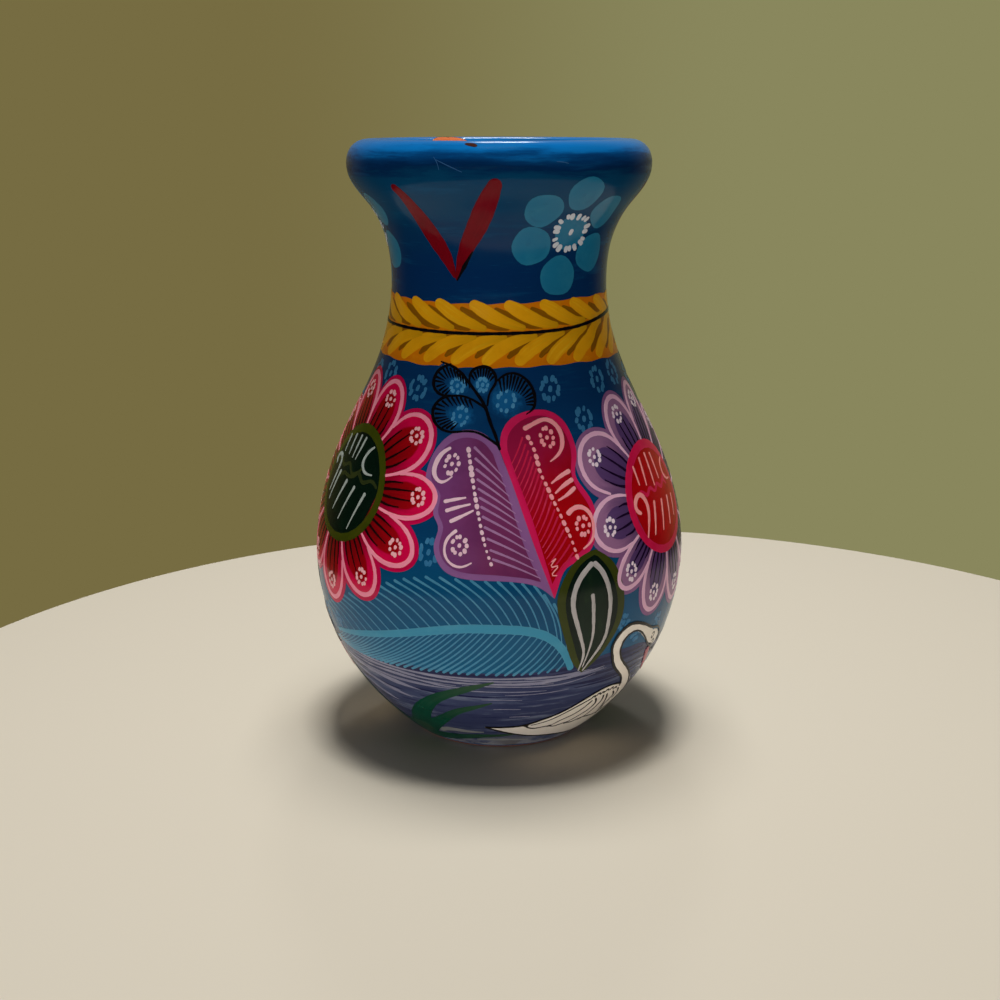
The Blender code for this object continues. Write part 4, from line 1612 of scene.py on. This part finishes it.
FEATHER_TIPS = [
    ([(x - 0.9, z - 0.4), (x, z + 0.5), (x + 0.9, z - 0.3)], [0.35, 0.6, 0.35])
    for x, z in ((37.5, 16.5), (39.5, 17), (41.5, 17), (43.5, 17.4), (46, 17.4), (48.5, 17))
]
FEATHERS = [
    [(38, 15.3), (36, 13.5), (32, 11.5), (26.5, 10), (23.5, 8.7)],
    [(39, 15.8), (41, 13.5), (39, 11.5), (35.5, 10), (31.5, 8.6)],
    [(36.6, 16.2), (31, 14.4), (26, 12.6), (20, 10.8), (13.5, 9.9)],
    [(43, 16), (44.5, 13.5), (43.5, 11.5), (41, 9.2), (38, 8.2)],
    [(45, 16), (47.5, 13.5), (49.5, 10.5), (52, 7.5)],
    [(48.5, 16), (51.5, 13.5), (50.5, 11.5), (53.5, 8.5)],
    [(51, 16.5), (53.5, 14.5), (53.5, 12.5)],
]
WING = [
    (11, 10), (13.5, 8.7), (17.5, 8.4), (22, 8.6), (25, 8.1), (30.5, 8.6), (33, 8.2), (39, 8.8), (46, 8.2),
    (52, 8.2), (57, 9.5), (60, 12),
]
BLOTS = [(11.5, 9.8), (22.5, 8.6), (31, 8.5)]


def between(film, left, right, lift):
    """A long filled shape, laid across from one line of (degrees, rise) to the other."""
    scale = np.array([degree_at(left[len(left) // 2][1]), 1.0])
    sides = [drawn_line(np.array(line) * scale, 0.3) for line in (left, right)]
    columns = math.ceil(max(run_of(side)[-1] for side in sides) / CELL)
    left_edge, right_edge = (
        at(np.linspace(0, len(side) - 1, columns + 1), range(len(side)), side) for side in sides
    )
    rows = max(2, math.ceil(np.linalg.norm(left_edge - right_edge, axis=1).max() / CELL))

    def place(run, across):
        i = np.rint(run * columns).astype(int)
        spots = right_edge[i] * (1 - across[:, None]) + left_edge[i] * across[:, None]
        return (spots / scale).T

    film.lay(columns, rows, place, lift)


swan = Film("swan_body", paint_for("swan_cream", "#f8ecde", "#e0d2c6", "#fef6ec"))
swan_lines = Film("swan_lines", paint_for("line_umber", "#17110e", "#2c211b", "#0c0806"))
swan_feathers = Film("swan_feathers", paint_for("feather_brown", "#2a1f18", "#463629", "#1a120d"))
swan_beak = Film("swan_beak", paint_for("beak_rose", "#b04c5c", "#984050", "#c26c74", (3.0, 2.0), 0.4))
BEAK = ([(58.6, 26.8), (60.2, 24), (63.6, 20.8), (66.8, 18.2)], [1.9, 1.9, 1.5, 0.5])
for turn in BANK_TURNS:
    between(swan, pot(BACK, turn), pot(BREAST, turn), layer(5.2))
strokes(swan, [(NECK, NECK_WIDTHS), HEAD], layer(5.6), 0.02, BANK_TURNS)
strokes(swan_lines, OUTLINES + EYES + FEATHER_TIPS, layer(6.8), 0.02, BANK_TURNS)
plumes = [(line, [0.55, 0.5, 0.4, 0.3]) for line in FEATHERS] + [(WING, [0.6, 0.5, 0.45, 0.5, 0.45, 0.3])]
strokes(swan_feathers, plumes, layer(6.6), 0.02, BANK_TURNS)
strokes(swan_beak, [BEAK], layer(6.2), 0.02, BANK_TURNS)
for turn in BANK_TURNS:
    for place in pot(BLOTS, turn):
        dab(swan_lines, place, 1.3, 0.8, 20, layer(6.8))
for film in (swan, swan_lines, swan_feathers, swan_beak):
    film.dry(0.08)


# Wear on the lip: a chip on the crest, where the varnish has gone and the clay shows dark, and a few
# hair-fine scuffs.
CHIP = [([(-12.6, 149.4), (-10.4, 149.3), (-7.8, 148.9)], [0.6, 1.4, 0.9])]
SCUFFS = [
    ([(-22, 146.0), (-18, 144.9), (-12.6, 143.4)], [0.1, 0.22, 0.12]),
    ([(-23, 146.6), (-21.4, 145.2), (-20.8, 143.8)], [0.1, 0.16, 0.1]),
    ([(20, 145.6), (22.5, 145.5), (24.5, 145.2)], [0.1, 0.2, 0.1]),
]
ONCE = (0,)
chip_brown = paint_for("chip_brown", "#3b1d14", "#5a2c1c", "#22100b", (2.0, 3.0), 0.6)
painted("lip_chip", chip_brown, CHIP, COAT + 0.02, 0.04, 0.0, ONCE)
scuff_grey = paint_for("scuff_grey", "#2e5c8c", "#164878", "#4c76a0", (2.0, 3.0), 0.6)
painted("lip_scuffs", scuff_grey, SCUFFS, layer(1), 0.04, 0.0, ONCE)


# The stand-in turntable: a round pale board in front of a khaki wall with painted light falling off to
# the left, with a soft lamp overhead, low fills in front and behind on both sides, and a small window that
# only the varnish mirrors. The camera is where the photograph was taken from.
BOARD = 0.2024
BOARD_DROP = 0.012
BOARD_MIDDLE = (0.0247, -0.0221, -BOARD_DROP / 2 - 0.0001)
BELLY = (0.0, 0.0, 0.08)

board_shape = bmesh.new()
round_board = {"radius1": BOARD, "radius2": BOARD, "depth": BOARD_DROP, "segments": 192}
bmesh.ops.create_cone(board_shape, cap_ends=True, **round_board)
rims = [edge for edge in board_shape.edges if edge.verts[0].co.z == edge.verts[1].co.z]
rounding = {"affect": "EDGES", "offset": 0.0015, "segments": 3, "profile": 0.5, "material": -1}
bmesh.ops.bevel(board_shape, geom=rims, **rounding)
bmesh.ops.translate(board_shape, vec=BOARD_MIDDLE, verts=board_shape.verts)
board_pale = Recipe("board_pale").finish(Base_Color="#cfc6b4", Roughness=0.7)
object_of("board", board_shape, board_pale, 30)

# The wall is khaki, paler to the right: painted light falling off towards the left. The gloss sees it behind
# the pot and dusk in front.
studio = Recipe("studio", world=True)
bearing = studio.node("TexCoord", output="Generated")
# Painted light: the khaki is darkened towards the left and lightened towards the right.
khaki_with_painted_falloff = studio.blend(studio.ease(studio.part(bearing, 0), -0.18, 0.18), "#766c42", "#89875d")
mirrored = studio.blend(studio.ease(studio.part(bearing, 1), 0.3, 1.0), "#1c1b16", khaki_with_painted_falloff)
air = "#2c2c2c"
for ray, seen in (("Is Glossy Ray", mirrored), ("Is Transmission Ray", khaki_with_painted_falloff), ("Is Camera Ray", khaki_with_painted_falloff)):
    air = studio.blend(studio.node("LightPath", output=ray), air, seen)
bpy.context.scene.world = studio.finish(Color=air)


def lamp(name, place, aim, size, power, mirrored=False):
    light = bpy.data.lights.new(name, "AREA")
    light.shape = "RECTANGLE"
    light.size, light.size_y = size
    light.energy = power
    holder = bpy.data.objects.new(name, light)
    holder.location = place
    holder.rotation_euler = (Vector(aim) - Vector(place)).to_track_quat("-Z", "Y").to_euler()
    holder.visible_glossy = mirrored
    bpy.context.scene.collection.objects.link(holder)


lamp("overhead", (0.0, 0.06, 1.0), BELLY, (0.28, 0.28), 10.5)
lamp("front_fill", (-0.25, -1.3, 0.11), BELLY, (1.4, 0.18), 7.7)
lamp("left_fill", (-1.1, 0.9, 0.11), BELLY, (0.8, 0.18), 1.8)
lamp("right_fill", (1.1, 0.9, 0.11), BELLY, (0.8, 0.18), 3.8)
lamp("window", (0.02, 1.15, 1.05), (0.0, 0.0, 0.15), (0.18, 0.14), 1.5, mirrored=True)

CAMERA_REACH = 0.365
CAMERA_HEIGHT = 0.1555
CAMERA_ASIDE = 0.00025
CAMERA_TILT = math.radians(90 - 14.85)
camera_data = bpy.data.cameras.new("camera")
camera_data.sensor_width = 36.0
camera_data.lens = 52.2
camera_data.clip_start = 0.01
camera = bpy.data.objects.new("camera", camera_data)
camera.location = (CAMERA_ASIDE, -CAMERA_REACH, CAMERA_HEIGHT)
camera.rotation_euler = (CAMERA_TILT, 0.0, 0.0)
bpy.context.scene.collection.objects.link(camera)
bpy.context.scene.camera = camera
bpy.context.scene.view_settings.view_transform = "Standard"
